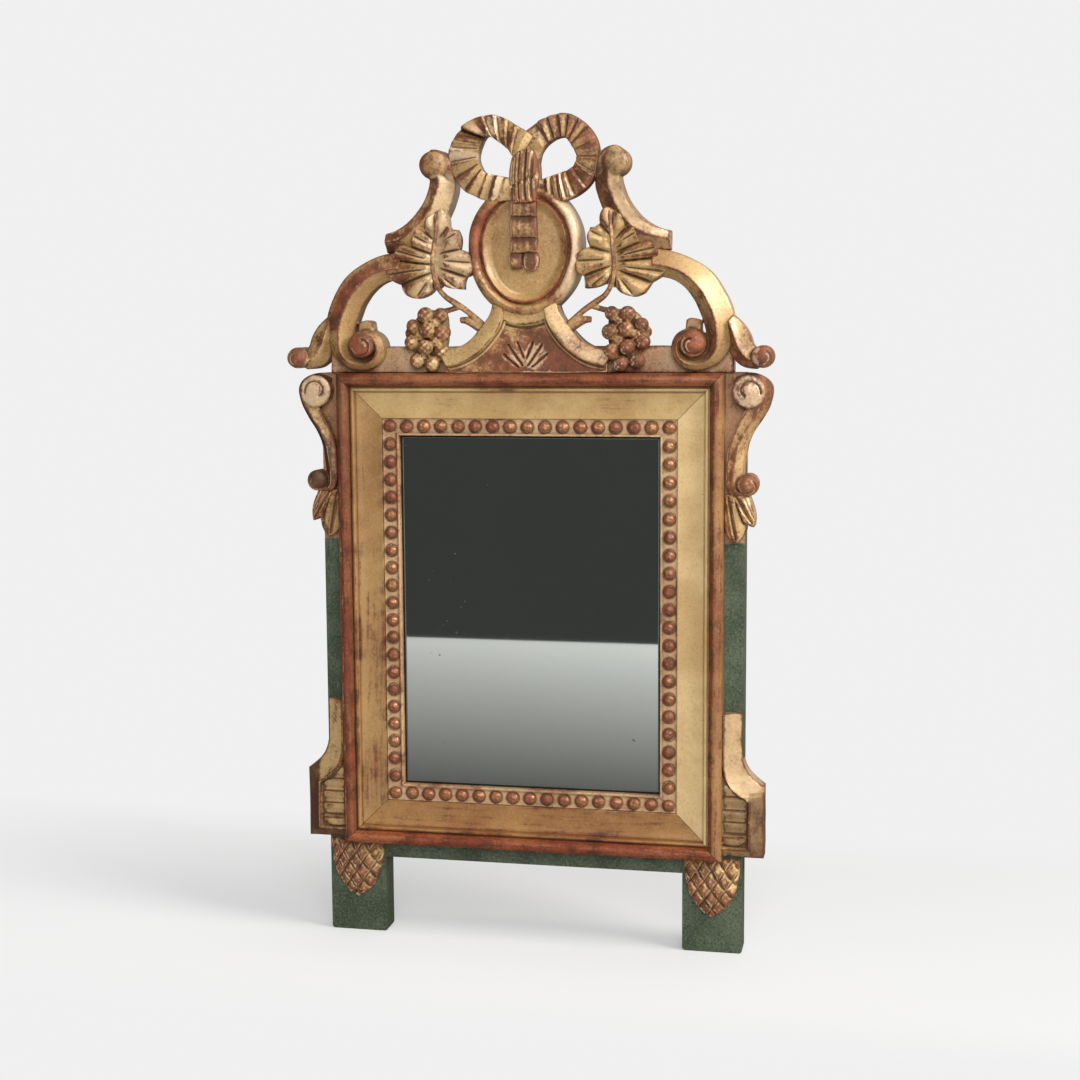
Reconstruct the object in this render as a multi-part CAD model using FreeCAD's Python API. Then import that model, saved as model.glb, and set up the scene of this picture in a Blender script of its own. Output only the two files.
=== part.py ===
import FreeCAD, Part
import math
import os

# A carved and gilded wall mirror with an openwork crest, in millimetres.
# +X is to the viewer's right, +Z is up and the front faces -Y.
# Depths are distances in front of the wall, which is the plane of the frame's back.
# Heights are counted from the middle of the glass until each piece is written out.

# Curves are cut as short flats, as a gouge leaves them: the longest flat and the sides of round pieces
FLAT = 5.5
ARM_STEPS = 2
DISC_SIDES = 16
BALL_SIDES = 10
OVAL_SIDES = 32
BEVEL_FLAT_COUNT = 5
PEG_SIDES = 6
WIRE_SIDES = 8
SCREW_SIDES = 10

# Sight opening and the moulding round it, from the glass outwards
SIGHT_W = 219.6
SIGHT_H = 297.0
PEARL_STRIP_W = 14.1
COVE_W = 22.6
FILLET_W = 3.5
TORUS_W = 11.65

# Carcase: two stiles whose lower ends are the feet, and two rails tenoned between them
FRAME_T = 20.0
STILE_W = 50.0
STILE_SHOW_W = 16.4
FOOT_H = 81.0
FOOT_CORNER_R = 3.0
TOP_RAIL_W = 40.0
BOTTOM_RAIL_DROP = 14.65
TENON_L = 30.0
TENON_T = 7.0
TENON_BACK = 8.5
TENON_SHOULDER = 6.0
TENON_END_GAP = 1.0
PEG_R = 3.0
PEG_PITCH = 20.0

# Heights of the moulding above the face of the carcase
CREASE_H = 12.0
TORUS_H = 18.0
COVE_TOP_H = 9.6
COVE_MID_H = 8.0
COVE_EDGE_H = 7.2
PEARL_GROUND_H = 6.2

# Pearls carved on the strip beside the glass
PEARL_R = 4.8
PEARL_H = 4.4
PEARL_PITCH = 14.75
PEARL_SIDES = 6
PEARL_RING_SHARES = ((1.0, 0.0), (0.82, 0.6), (0.42, 1.0))

# Mirror plate, the blocks that hold it, and the boards behind
GLASS_T = 3.0
GLASS_LAP = 8.0
BLOCK_L = 36.0
BLOCK_REACH = 6.0
BLOCK_SPREAD_SHARE = 0.55
BOARD_T = 6.0
BOARD_RECESS = 1.0
BOARD_LAP = 8.0
BOARD_GAP = 0.6
NAIL_T = 1.5
NAIL_L = 15.0
NAIL_HEAD_W = 4.0
NAIL_HEAD_T = 0.8
NAIL_HEIGHT_SHARES = (0.25, 0.75)

# Crest: its outlines are shares of half the moulding's width and of its own height
CREST_H = 207.6
CREST_BACK = 14.0
BASE_BACK = 6.0
BASE_FRONT = 24.0
BASE_H = 21.6
BASE_END = 6.4
DOWEL_R = 4.0
DOWEL_L = 26.0
DOWEL_HALF_SHARES = (0.25, 0.65)

# Carved field under the medallion, and the two arch bands beside it
PANEL_FRONT = 34.0
PANEL_TOP_SHARE = 0.25
NECK_SHARES = ((0.0, 0.190), (0.110, 0.190))
LEAF_CUT_SHARES = (((0.0, 0.020), (0.105, 0.115)), ((0.0, 0.060), (0.062, 0.120)))
ARCH_OUTER_SHARES = (
    (0.161, 0.278), (0.178, 0.235), (0.204, 0.201), (0.254, 0.152), (0.309, 0.116), (0.371, 0.095),
    (0.445, 0.080))
ARCH_INNER_SHARES = (
    (0.087, 0.239), (0.099, 0.192), (0.130, 0.145), (0.179, 0.097), (0.241, 0.056), (0.309, 0.027),
    (0.396, 0.010))
ARCH_ARRIS_SHARE = 0.8
ARCH_OUTER_FRONT = 35.0
ARCH_ARRIS_FRONT = 38.5
ARCH_INNER_FRONT = 36.5

# Oval medallion: its place and halves are shares of the crest, and each rim is an inset and a depth
MEDALLION_HALF_SHARES = (0.295, 0.253)
MEDALLION_RISE_SHARE = 0.487
MEDALLION_EDGE_FRONT = 29.0
MEDALLION_SLOPE = 4.0
MEDALLION_SLOPE_FRONT = 35.0
MEDALLION_CROWN = 9.5
MEDALLION_CROWN_FRONT = 38.0
MEDALLION_STEP = 13.5
MEDALLION_STEP_FRONT = 33.0
MEDALLION_FIELD = 18.5
MEDALLION_FIELD_FRONT = 31.0

# Ribbon bow
BOW_BACK = 24.0
LOOP_FRONT = 39.5
LOOP_SHARES = (
    (0.056, 0.668), (0.148, 0.670), (0.204, 0.661), (0.278, 0.685), (0.340, 0.728), (0.377, 0.788),
    (0.380, 0.851), (0.353, 0.914), (0.297, 0.964), (0.223, 0.993), (0.142, 0.983), (0.074, 0.957),
    (0.0, 0.918))
LOOP_HOLE_SHARES = (
    (0.105, 0.747), (0.186, 0.767), (0.241, 0.783), (0.266, 0.822), (0.247, 0.865), (0.204, 0.901),
    (0.136, 0.885), (0.093, 0.846), (0.080, 0.798), (0.105, 0.747))
LOOP_MIDDLE_SHARES = (0.175, 0.828)
PLEAT_COUNT = 9
PLEAT_FIRST_DEG = -110.0
PLEAT_TURN_DEG = 30.0
PLEAT_L = 40.0
PLEAT_W = 5.0
PLEAT_CUT = 3.0
KNOT_FRONT = 43.0
KNOT_SHARES = (
    (-0.062, 0.663), (0.068, 0.663), (0.080, 0.759), (0.056, 0.846), (0.0, 0.870), (-0.056, 0.836),
    (-0.068, 0.750), (-0.062, 0.663))
KNOT_FOLD_SHARES = (-0.036, -0.006, 0.028, 0.052)
TAIL_FRONT = 38.5
TAIL_HALF_W = 10.5
TAIL_TIP_HALF_W = 12.3
TAIL_L = 55.0
TAIL_TIP_L = 9.0
TAIL_NOTCH = 4.0
TAIL_FOLD_COUNT = 5

# Large scroll at each side, with its volute and eye
C_OUTER_SHARES = (
    (0.656, 0.475), (0.755, 0.461), (0.866, 0.422), (0.946, 0.372), (1.008, 0.299), (1.042, 0.225),
    (1.042, 0.152), (1.021, 0.085), (0.971, 0.037), (0.903, 0.015))
C_INNER_SHARES = (
    (0.656, 0.369), (0.730, 0.360), (0.798, 0.326), (0.848, 0.278), (0.875, 0.230), (0.897, 0.181),
    (0.916, 0.143), (0.928, 0.099), (0.909, 0.056), (0.872, 0.027))
C_ARRIS_SHARE = 0.7
C_FRONT = 40.0
C_INNER_FRONT = 30.0
VOLUTE_PLACE_SHARES = (0.846, 0.102)
VOLUTE_R = 18.5
VOLUTE_RIM_R = 15.5
VOLUTE_FRONT = 38.0
VOLUTE_RIM_FRONT = 40.0
VOLUTE_EYE_R = 9.8
VOLUTE_EYE_TOP_R = 5.5
VOLUTE_EYE_FRONT = 44.0
VOLUTE_GROOVE_W = 2.4
VOLUTE_GROOVE_CUT = 5.0
VOLUTE_TURN_DEG = 300.0
VOLUTE_START_DEG = 90.0

# Small outer curl that ends in a ball
CURL_OUTER_SHARES = ((1.040, 0.222), (1.101, 0.186), (1.138, 0.148), (1.148, 0.109), (1.175, 0.080))
CURL_INNER_SHARES = ((1.020, 0.172), (1.024, 0.114), (1.042, 0.058), (1.089, 0.025), (1.157, 0.013))
CURL_ARRIS_SHARE = 0.6
CURL_OUTER_FRONT = 33.0
CURL_FRONT = 38.0
CURL_INNER_FRONT = 34.0
CURL_PLACE_SHARES = (1.191, 0.062)
CURL_BALL_R = 9.5
CURL_BALL_TOP_R = 5.0
CURL_BALL_SIDE_FRONT = 38.5
CURL_BALL_FRONT = 44.5

# Upper scroll, from its ball beside the bow down to its square end
UPPER_OUTER_SHARES = (
    (0.483, 0.759), (0.495, 0.706), (0.529, 0.649), (0.582, 0.600), (0.650, 0.564), (0.727, 0.545))
UPPER_INNER_SHARES = (
    (0.377, 0.808), (0.353, 0.721), (0.384, 0.644), (0.433, 0.567), (0.532, 0.499), (0.727, 0.470))
UPPER_ARRIS_SHARE = 0.45
UPPER_OUTER_FRONT = 38.0
UPPER_FRONT = 40.0
UPPER_INNER_FRONT = 32.0
UPPER_PLACE_SHARES = (0.455, 0.808)
UPPER_BALL_R = 12.3
UPPER_BALL_TOP_R = 6.5
UPPER_BALL_SIDE_FRONT = 35.0
UPPER_BALL_FRONT = 42.0

# Vine leaf, its stem and the bunch of grapes
LEAF_BACK = 26.0
LEAF_FRONT = 43.0
LEAF_START_SHARES = (0.414, 0.639)
LEAF_LOBE_SHARES = (
    ((0.495, 0.605), (0.557, 0.533)), ((0.637, 0.504), (0.668, 0.446)), ((0.730, 0.393), (0.643, 0.340)),
    ((0.557, 0.292), (0.464, 0.326)), ((0.421, 0.336),), ((0.322, 0.316), (0.297, 0.379)),
    ((0.257, 0.437), (0.334, 0.485)), ((0.328, 0.552), (0.384, 0.581)), ((0.396, 0.620), (0.414, 0.639)))
LEAF_HEART_SHARES = (0.458, 0.403)
LEAF_VEIN_SHARES = (
    (0.520, 0.567), (0.619, 0.490), (0.687, 0.398), (0.582, 0.316), (0.328, 0.350), (0.303, 0.441),
    (0.359, 0.538), (0.433, 0.625), (0.445, 0.335))
VEIN_W = 3.6
VEIN_CUT = 2.6
STEM_BACK = 24.0
STEM_FRONT = 35.0
STEM_START_SHARES = (0.408, 0.350)
STEM_SHARES = (
    ((0.371, 0.297), (0.303, 0.273), (0.190, 0.190)), ((0.215, 0.150),),
    ((0.353, 0.240), (0.408, 0.278), (0.458, 0.340)), ((0.408, 0.350),))
BRANCH_SHARES = ((0.322, 0.268), (0.420, 0.249), (0.420, 0.222), (0.330, 0.236))
# Each berry's place is counted from the bunch's middle, as shares of a berry's radius
BUNCH_PLACE_SHARES = (0.510, 0.148)
BUNCH_BACK = 18.0
BUNCH_FRONT = 29.0
GRAPE_R = 7.0
GRAPE_MIDDLE = 30.0
GRAPE_SIDES = 7
GRAPE_RING_DEG = (-20.0, 15.0, 60.0)
GRAPE_SHARES = (
    (-0.56, -3.06), (1.30, -2.77), (2.01, -0.70), (1.81, 1.29), (0.24, 2.46), (-1.63, 2.43),
    (-1.84, 0.31), (-1.70, -1.63), (0.24, -1.20), (-0.06, 0.73))
BUNCH_RIM_COUNT = 8

# Side scroll: its outlines are shares of its own width and height, from the moulding's edge
SIDE_SCROLL_W = 38.0
SIDE_SCROLL_H = 100.35
SIDE_BACK = 7.0
SIDE_OUTER_SHARES = (
    (0.290, 0.985), (0.560, 1.0), (0.840, 0.958), (0.999, 0.862), (0.943, 0.744), (0.785, 0.632),
    (0.601, 0.523), (0.483, 0.418), (0.443, 0.299), (0.430, 0.189), (0.350, 0.095))
SIDE_INNER_SHARES = (
    (0.330, 0.860), (0.540, 0.900), (0.690, 0.880), (0.740, 0.820), (0.588, 0.742), (0.417, 0.627),
    (0.233, 0.508), (0.101, 0.394), (0.041, 0.259), (0.048, 0.120), (0.200, 0.020))
SIDE_ARRIS_SHARE = 0.72
SIDE_OUTER_FRONT = 26.0
SIDE_FRONT = 28.5
SIDE_INNER_FRONT = 25.0
SIDE_VOLUTE_SHARES = (0.500, 0.850)
SIDE_VOLUTE_R = 13.5
SIDE_EYE_R = 9.0
SIDE_EYE_TOP_R = 5.0
SIDE_VOLUTE_FRONT = 26.0
SIDE_EYE_SIDE_FRONT = 29.0
SIDE_EYE_FRONT = 33.0
SIDE_BALL_SHARES = (0.500, 0.102)
SIDE_BALL_R = 8.8
SIDE_BALL_TOP_R = 4.6
SIDE_BALL_SIDE_FRONT = 28.0
SIDE_BALL_FRONT = 34.0

# Husk leaf hanging under each side scroll
HUSK_W = 24.4
HUSK_H = 40.0
HUSK_RISE = 3.0
HUSK_FRONT = 29.0
HUSK_START_SHARES = (0.0, 1.0)
HUSK_SHARES = (
    ((0.78, 1.0),), ((0.975, 0.68), (0.925, 0.365)), ((0.62, 0.44),), ((0.64, 0.19), (0.45, 0.0)),
    ((0.13, 0.14), (0.0, 0.46)), ((0.0, 1.0),))
HUSK_FOLD_SHARES = (((0.30, 0.98), (0.90, 0.40)), ((0.12, 0.98), (0.48, 0.06)))

# Corner block low on each side, with a bevelled border round a fluted panel
CORNER_W = 34.2
CORNER_H = 121.0
CORNER_DROP = 2.35
CORNER_BACK = 6.0
CORNER_EDGE_FRONT = 23.0
CORNER_RIDGE_FRONT = 30.5
CORNER_PANEL_FRONT = 25.5
CORNER_EDGE_SHARES = (
    ((0.45, 1.0),), ((0.45, 0.711),), ((0.595, 0.595), (0.993, 0.492)), ((1.0, 0.0),), ((0.0, 0.0),),
    ((0.0, 1.0),))
CORNER_RIDGE_SHARES = (
    ((0.030, 0.985),), ((0.030, 0.653),), ((0.170, 0.512), (0.639, 0.401)), ((0.639, 0.070),),
    ((0.0, 0.070),), ((0.0, 0.985),))
CORNER_PANEL_SHARES = (
    ((0.140, 0.500), (0.600, 0.385)), ((0.600, 0.085),), ((0.0, 0.085),), ((0.0, 0.630),))
TONGUE_FRONT = 28.0
TONGUE_SHARES = (((0.560, 0.150),), ((0.500, 0.085), (0.250, 0.085)), ((0.100, 0.100), (0.0, 0.150)))
FLUTE_W = 3.6
FLUTE_CUT = 1.8
FLUTE_SHARES = (0.165, 0.245, 0.330, 0.420)

# Pine cone on the front of each foot
CONE_W = 46.0
CONE_H = 50.7
CONE_SIDE_FRONT = 25.0
CONE_FRONT = 32.0
CONE_CHEEK_SHARE = 0.62
CONE_BELLY_SHARES = (0.64, 0.24)
CONE_TOP_SHARE = 0.74
SCALE_W = 12.5
SCALE_DEG = 58.0
SCALE_GROOVE_W = 4.4
SCALE_CUT = 3.0

# Hanging hardware, let into a housing in the back of the top rail
PIVOT_DROP = 5.4
HOUSING_W = 32.0
HOUSING_H = 28.0
HOUSING_D = 5.6
STRAP_W = 14.0
STRAP_T = 1.2
STRAP_L = 14.5
RING_WIRE_R = 1.25
RING_HALF_W = 12.5
RING_CORNER_R = 2.5
RING_LEG = 7.0
RING_FLAT_COUNT = 8
RING_CLEARANCE = 0.06
SCREW_R = 1.3
SCREW_HEAD_R = 2.4
SCREW_HEAD_T = 0.9
SCREW_L = 9.0
SCREW_DROP_SHARES = (0.36, 0.78)

OVERRUN = 1.0
TWIST_SHARE = 1e-8

# Sizes worked out from the ones above
SIGHT_HALF_W = SIGHT_W / 2
SIGHT_HALF_H = SIGHT_H / 2
STICK_W = COVE_W + FILLET_W + TORUS_W
OUT_HALF_W = SIGHT_HALF_W + PEARL_STRIP_W + STICK_W
OUT_HALF_H = SIGHT_HALF_H + PEARL_STRIP_W + STICK_W
STILE_OUT = OUT_HALF_W + STILE_SHOW_W
STILE_IN = STILE_OUT - STILE_W
SOLE_Z = -OUT_HALF_H - FOOT_H
RAIL_TOP_Z = OUT_HALF_H
OPEN_TOP_Z = OUT_HALF_H - TOP_RAIL_W
OPEN_LOW_Z = -OPEN_TOP_Z
RAIL_LOW_Z = -OUT_HALF_H - BOTTOM_RAIL_DROP
BOARD_FRONT = BOARD_RECESS + BOARD_T
GLASS_BACK = FRAME_T - GLASS_T
PIVOT_Z = RAIL_TOP_Z - PIVOT_DROP
KNUCKLE_R = RING_WIRE_R + RING_CLEARANCE + STRAP_T
PIVOT_D = HOUSING_D - KNUCKLE_R
MEDALLION_HALF_W = OUT_HALF_W * MEDALLION_HALF_SHARES[0]
MEDALLION_HALF_H = CREST_H * MEDALLION_HALF_SHARES[1]
MEDALLION_Z = RAIL_TOP_Z + CREST_H * MEDALLION_RISE_SHARE
TAIL_TOP_Z = RAIL_TOP_Z + CREST_H * KNOT_SHARES[0][1]

os.makedirs("parts", exist_ok=True)


def at(x, z, depth):
    """The point at (x, z) that stands this far in front of the wall."""
    return FreeCAD.Vector(x, -depth, z)


def forward(length):
    """A step away from the wall."""
    return FreeCAD.Vector(0, -length, 0)


def block(x0, x1, z0, z1, back, front):
    """A squared piece between two widths, two heights and two depths."""
    corner = at(min(x0, x1), min(z0, z1), front)
    return Part.makeBox(abs(x1 - x0), front - back, abs(z1 - z0), corner)


def run_edge(points):
    """Two points make a straight edge, three an arc, and more a smooth curve."""
    if len(points) == 2:
        return Part.makeLine(points[0], points[1])
    if len(points) == 3:
        return Part.Arc(points[0], points[1], points[2]).toShape()
    curve = Part.BSplineCurve()
    curve.interpolate(points)
    return curve.toShape()


def flats(points, count):
    """The corners of one run after its first point, in this many flats, or as many as its length needs."""
    if len(points) == 2:
        return [points[1]]
    edge = run_edge([at(x, z, 0) for x, z in points])
    count = count or math.ceil(edge.Length / FLAT)
    middle = [(spot.x, spot.z) for spot in edge.discretize(count + 1)[1:-1]]
    return middle + [points[-1]]


def outline(start, runs, count=0):
    """The corners of a closed outline, drawn run by run from its first point."""
    corners = [start]
    for run in runs:
        corners += flats([corners[-1]] + list(run), count)
    if corners[-1] == start:
        corners.pop()
    return corners


def polygon(corners):
    """A flat face with these corners."""
    return Part.Face(Part.makePolygon(corners + corners[:1]))


def cut_out(corners, back, front):
    """A board between two depths, cut out along straight lines from corner to corner."""
    return polygon([at(x, z, back) for x, z in corners]).extrude(forward(front - back))


def slab(start, runs, back, front):
    """The outline cut out of a board between two depths."""
    return cut_out(outline(start, runs), back, front)


def flat_faces(first, second, third, fourth):
    """One face where four corners lie in a plane, and otherwise two triangles."""
    normal = (second - first).cross(third - first).normalize()
    if abs(normal.dot(fourth - first)) < TWIST_SHARE * (third - first).Length:
        return [polygon([first, second, third, fourth])]
    return [polygon([first, second, third]), polygon([first, third, fourth])]


def facet_loft(sections, ring=False):
    """A solid with flat facets through sections that have as many corners each."""
    faces = []
    pairs = list(zip(sections, sections[1:]))
    if ring:
        pairs.append((sections[-1], sections[0]))
    else:
        faces += [polygon(sections[0]), polygon(sections[-1])]
    for near, far in pairs:
        for index in range(len(near)):
            faces += flat_faces(near[index - 1], near[index], far[index], far[index - 1])
    shell = Part.makeShell(faces)
    shell.sewShape()
    solid = Part.makeSolid(shell)
    if solid.Volume < 0:
        solid.reverse()
    return solid


def crest(share):
    """A point of the crest, from its shares of the half width and the height."""
    return (share[0] * OUT_HALF_W, RAIL_TOP_Z + share[1] * CREST_H)


def crest_points(shares):
    return [crest(share) for share in shares]


def crest_runs(runs):
    return [tuple(crest(share) for share in run) for run in runs]


def mirrored(shape):
    """The same piece for the left side."""
    return shape.mirror(FreeCAD.Vector(0, 0, 0), FreeCAD.Vector(1, 0, 0))


def stations(points):
    """Places along the smooth curve through the points, a few to each space between them."""
    curve = Part.BSplineCurve()
    marks = [float(index) for index in range(len(points))]
    curve.interpolate(Points=[at(x, z, 0) for x, z in points], Parameters=marks)
    spots = [curve.value(index / ARM_STEPS) for index in range((len(points) - 1) * ARM_STEPS + 1)]
    return [(spot.x, spot.z) for spot in spots]


def ridged_arm(outer, inner, arris_share, back, fronts):
    """A carved arm: two facets that meet at an arris, lofted from station to station."""
    outer_front, arris_front, inner_front = fronts
    sections = []
    for (outer_x, outer_z), (inner_x, inner_z) in zip(stations(outer), stations(inner)):
        arris_x = outer_x + (inner_x - outer_x) * arris_share
        arris_z = outer_z + (inner_z - outer_z) * arris_share
        sections.append([
            at(outer_x, outer_z, back), at(outer_x, outer_z, outer_front), at(arris_x, arris_z, arris_front),
            at(inner_x, inner_z, inner_front), at(inner_x, inner_z, back)])
    return facet_loft(sections)


def groove(start, end, width, cut, front):
    """A V-shaped tool that cuts a straight groove this deep into a front face."""
    along_x = end[0] - start[0]
    along_z = end[1] - start[1]
    length = math.hypot(along_x, along_z)
    half = width / 2 * (cut + OVERRUN) / cut
    side_x = -along_z / length * half
    side_z = along_x / length * half
    corners = [
        at(start[0] + side_x, start[1] + side_z, front + OVERRUN),
        at(start[0] - side_x, start[1] - side_z, front + OVERRUN),
        at(start[0], start[1], front - cut)]
    face = Part.Face(Part.makePolygon(corners + corners[:1]))
    return face.extrude(FreeCAD.Vector(along_x, 0, along_z))


def around(sides):
    """The cosine and sine of each corner of a regular polygon with a flat side at the right."""
    turns = [2 * math.pi * (index + 0.5) / sides for index in range(sides)]
    return [(math.cos(turn), math.sin(turn)) for turn in turns]


def faceted(place, sides, rings):
    """A round piece with flat facets that faces forward: each ring is a radius and a depth."""
    x, z = place
    sections = []
    for radius, depth in rings:
        sections.append([at(x + radius * across, z + radius * up, depth) for across, up in around(sides)])
    return facet_loft(sections)


def cut_all(shape, tools):
    """The shape less every tool, left whole where there is none."""
    for tool in tools:
        shape = shape.cut(tool)
    return shape


def save(name, shape):
    """Write one piece with the hanging point as its origin."""
    placed = shape.copy()
    placed.translate(FreeCAD.Vector(0, 0, -PIVOT_Z))
    placed.exportStep("parts/" + name + ".step")
    solids = placed.Solids
    volume = sum(solid.Volume for solid in solids)
    print(name, "solids", len(solids), "volume", round(volume), "valid", placed.isValid())


# Carcase
def back_rebate():
    """The step round the back opening that the boards lie in."""
    wide = STILE_IN + BOARD_LAP
    high = OPEN_TOP_Z + BOARD_LAP
    return block(-wide, wide, -high, high, -OVERRUN, BOARD_FRONT)


def tenon(side, low, high):
    """One rail's tenon, from its shoulder into the stile."""
    return block(side * STILE_IN, side * (STILE_IN + TENON_L), low + TENON_SHOULDER, high - TENON_SHOULDER,
                 TENON_BACK, TENON_BACK + TENON_T)


def mortise(side, low, high):
    """The slot for a tenon, a little deeper than the tenon is long."""
    reach = TENON_L + TENON_END_GAP
    return block(side * STILE_IN, side * (STILE_IN + reach), low + TENON_SHOULDER, high - TENON_SHOULDER,
                 TENON_BACK, TENON_BACK + TENON_T)


def rail_spans():
    return ((OPEN_TOP_Z, RAIL_TOP_Z), (RAIL_LOW_Z, OPEN_LOW_Z))


def pegs():
    """Two riven pegs through each joint."""
    rods = []
    for side in (-1, 1):
        for low, high in rail_spans():
            for step in (-PEG_PITCH / 2, PEG_PITCH / 2):
                place = (side * (STILE_IN + TENON_L / 2), (low + high) / 2 + step)
                rods.append(faceted(place, PEG_SIDES, ((PEG_R, 0), (PEG_R, FRAME_T))))
    return Part.makeCompound(rods)


def nails():
    """Square cut nails: shanks and heads, in the rebate's step."""
    inset = BOARD_LAP / 2
    places = []
    for side in (-1, 1):
        for share in NAIL_HEIGHT_SHARES:
            for end in (-1, 1):
                places.append((side * (STILE_IN + inset), end * OPEN_TOP_Z * share))
                if share == NAIL_HEIGHT_SHARES[0]:
                    places.append((side * STILE_IN / 2, end * (OPEN_TOP_Z + inset)))
    pieces = []
    for x, z in places:
        half = NAIL_T / 2
        head = NAIL_HEAD_W / 2
        shank = block(x - half, x + half, z - half, z + half, BOARD_RECESS, BOARD_RECESS + NAIL_L)
        cap = block(x - head, x + head, z - head, z + head, BOARD_RECESS - NAIL_HEAD_T, BOARD_RECESS)
        pieces.append(shank.fuse(cap))
    return Part.makeCompound(pieces)


def right_stile():
    """One upright, rounded a little at the sole."""
    body = block(STILE_IN, STILE_OUT, SOLE_Z, RAIL_TOP_Z, 0, FRAME_T)
    soles = [edge for edge in body.Edges if is_foot_corner(edge)]
    body = body.makeFillet(FOOT_CORNER_R, soles)
    slots = [mortise(1, low, high) for low, high in rail_spans()]
    return cut_all(body, slots + [back_rebate(), pegs(), nails()])


def is_foot_corner(edge):
    """The two lowest edges that run from back to front."""
    first, last = edge.Vertexes[0].Point, edge.Vertexes[1].Point
    at_sole = abs(first.z - SOLE_Z) < OVERRUN and abs(last.z - SOLE_Z) < OVERRUN
    return at_sole and abs(first.x - last.x) < OVERRUN


def rail(low, high):
    """A rail between the stiles, with a tenon at each end."""
    body = block(-STILE_IN, STILE_IN, low, high, 0, FRAME_T)
    body = body.fuse([tenon(-1, low, high), tenon(1, low, high)])
    return cut_all(body, [back_rebate(), pegs(), nails()])


def top_rail():
    """The upper rail, with the housing for the hanger and holes for the crest's dowels."""
    housing = block(-HOUSING_W / 2, HOUSING_W / 2, RAIL_TOP_Z - HOUSING_H, RAIL_TOP_Z + OVERRUN,
                    -OVERRUN, HOUSING_D)
    return cut_all(rail(OPEN_TOP_Z, RAIL_TOP_Z), [housing, screws(), crest_dowels()])


# Mouldings
def torus_profile():
    """Section of the outer stick, as insets from its outer edge and depths."""
    crease = FRAME_T + CREASE_H
    cove_start = TORUS_W + FILLET_W
    return [
        ((0, FRAME_T), (0, crease)),
        ((0, crease), (TORUS_W / 2, FRAME_T + TORUS_H), (TORUS_W, crease)),
        ((TORUS_W, crease), (cove_start, crease)),
        ((cove_start, crease), (cove_start, FRAME_T + COVE_TOP_H)),
        ((cove_start, FRAME_T + COVE_TOP_H), (cove_start + COVE_W / 2, FRAME_T + COVE_MID_H),
         (STICK_W, FRAME_T + COVE_EDGE_H)),
        ((STICK_W, FRAME_T + COVE_EDGE_H), (STICK_W, FRAME_T)),
        ((STICK_W, FRAME_T), (0, FRAME_T))]


def stick(profile, edge, length, width):
    """A mitred length of moulding along X whose outer edge is at height `edge`."""
    edges = []
    for run in profile:
        edges.append(run_edge([at(-length / 2, edge - inset, depth) for inset, depth in run]))
    bar = Part.Face(Part.Wire(edges)).extrude(FreeCAD.Vector(length, 0, 0))
    half = length / 2
    top = FRAME_T + TORUS_H + OVERRUN
    corners = [(-half, edge), (half, edge), (half - width, edge - width), (width - half, edge - width)]
    return bar.common(cut_out(corners, FRAME_T, top))


def quarter_turn(shape):
    """Turn a piece that lies along the top so that it lies along the right side."""
    return shape.rotated(FreeCAD.Vector(0, 0, 0), FreeCAD.Vector(0, 1, 0), 90)


def half_turn(shape):
    return shape.rotated(FreeCAD.Vector(0, 0, 0), FreeCAD.Vector(0, 1, 0), 180)


def strip_profile():
    """Section of the strip that carries the pearls."""
    front = FRAME_T + PEARL_GROUND_H
    corners = [(0, FRAME_T), (0, front), (PEARL_STRIP_W, front), (PEARL_STRIP_W, FRAME_T), (0, FRAME_T)]
    return [(first, last) for first, last in zip(corners, corners[1:])]


def pearl(x, z):
    rings = []
    for radius_share, height_share in PEARL_RING_SHARES:
        rings.append((PEARL_R * radius_share, FRAME_T + PEARL_GROUND_H + PEARL_H * height_share))
    return faceted((x, z), PEARL_SIDES, rings)


def pearl_strip(edge, length, with_corners):
    """A strip with its row of pearls; two of the four strips carry the corner pearls."""
    bar = stick(strip_profile(), edge, length, PEARL_STRIP_W)
    middle = edge - PEARL_STRIP_W / 2
    row_length = length - PEARL_STRIP_W
    spaces = round(row_length / PEARL_PITCH)
    first = 0 if with_corners else 1
    row = []
    for index in range(first, spaces + 1 - first):
        row.append(pearl(index * row_length / spaces - row_length / 2, middle))
    return bar.fuse(row)


# Glass and back
def mirror_plate():
    half = SIGHT_HALF_W + GLASS_LAP
    return block(-half, half, OPEN_LOW_Z, SIGHT_HALF_H + GLASS_LAP, GLASS_BACK, FRAME_T)


def glazing_blocks():
    """Small blocks glued to the opening's edge behind the plate."""
    pieces = []
    half = BLOCK_L / 2
    glass_half = SIGHT_HALF_W + GLASS_LAP
    glass_top = SIGHT_HALF_H + GLASS_LAP
    for side in (-1, 1):
        for end in (-1, 1):
            middle = end * OPEN_TOP_Z * BLOCK_SPREAD_SHARE
            pieces.append(block(side * (glass_half - BLOCK_REACH), side * STILE_IN, middle - half,
                                middle + half, BOARD_FRONT, GLASS_BACK))
            middle = side * STILE_IN * BLOCK_SPREAD_SHARE
            pieces.append(block(middle - half, middle + half, end * (glass_top - BLOCK_REACH),
                                end * OPEN_TOP_Z, BOARD_FRONT, GLASS_BACK))
    return Part.makeCompound(pieces)


def backboard(end):
    """Half of the back: end 1 is the upper board and -1 the lower."""
    wide = STILE_IN + BOARD_LAP
    high = OPEN_TOP_Z + BOARD_LAP
    board = block(-wide, wide, end * BOARD_GAP / 2, end * high, BOARD_RECESS, BOARD_FRONT)
    return board.cut(nails())


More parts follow.
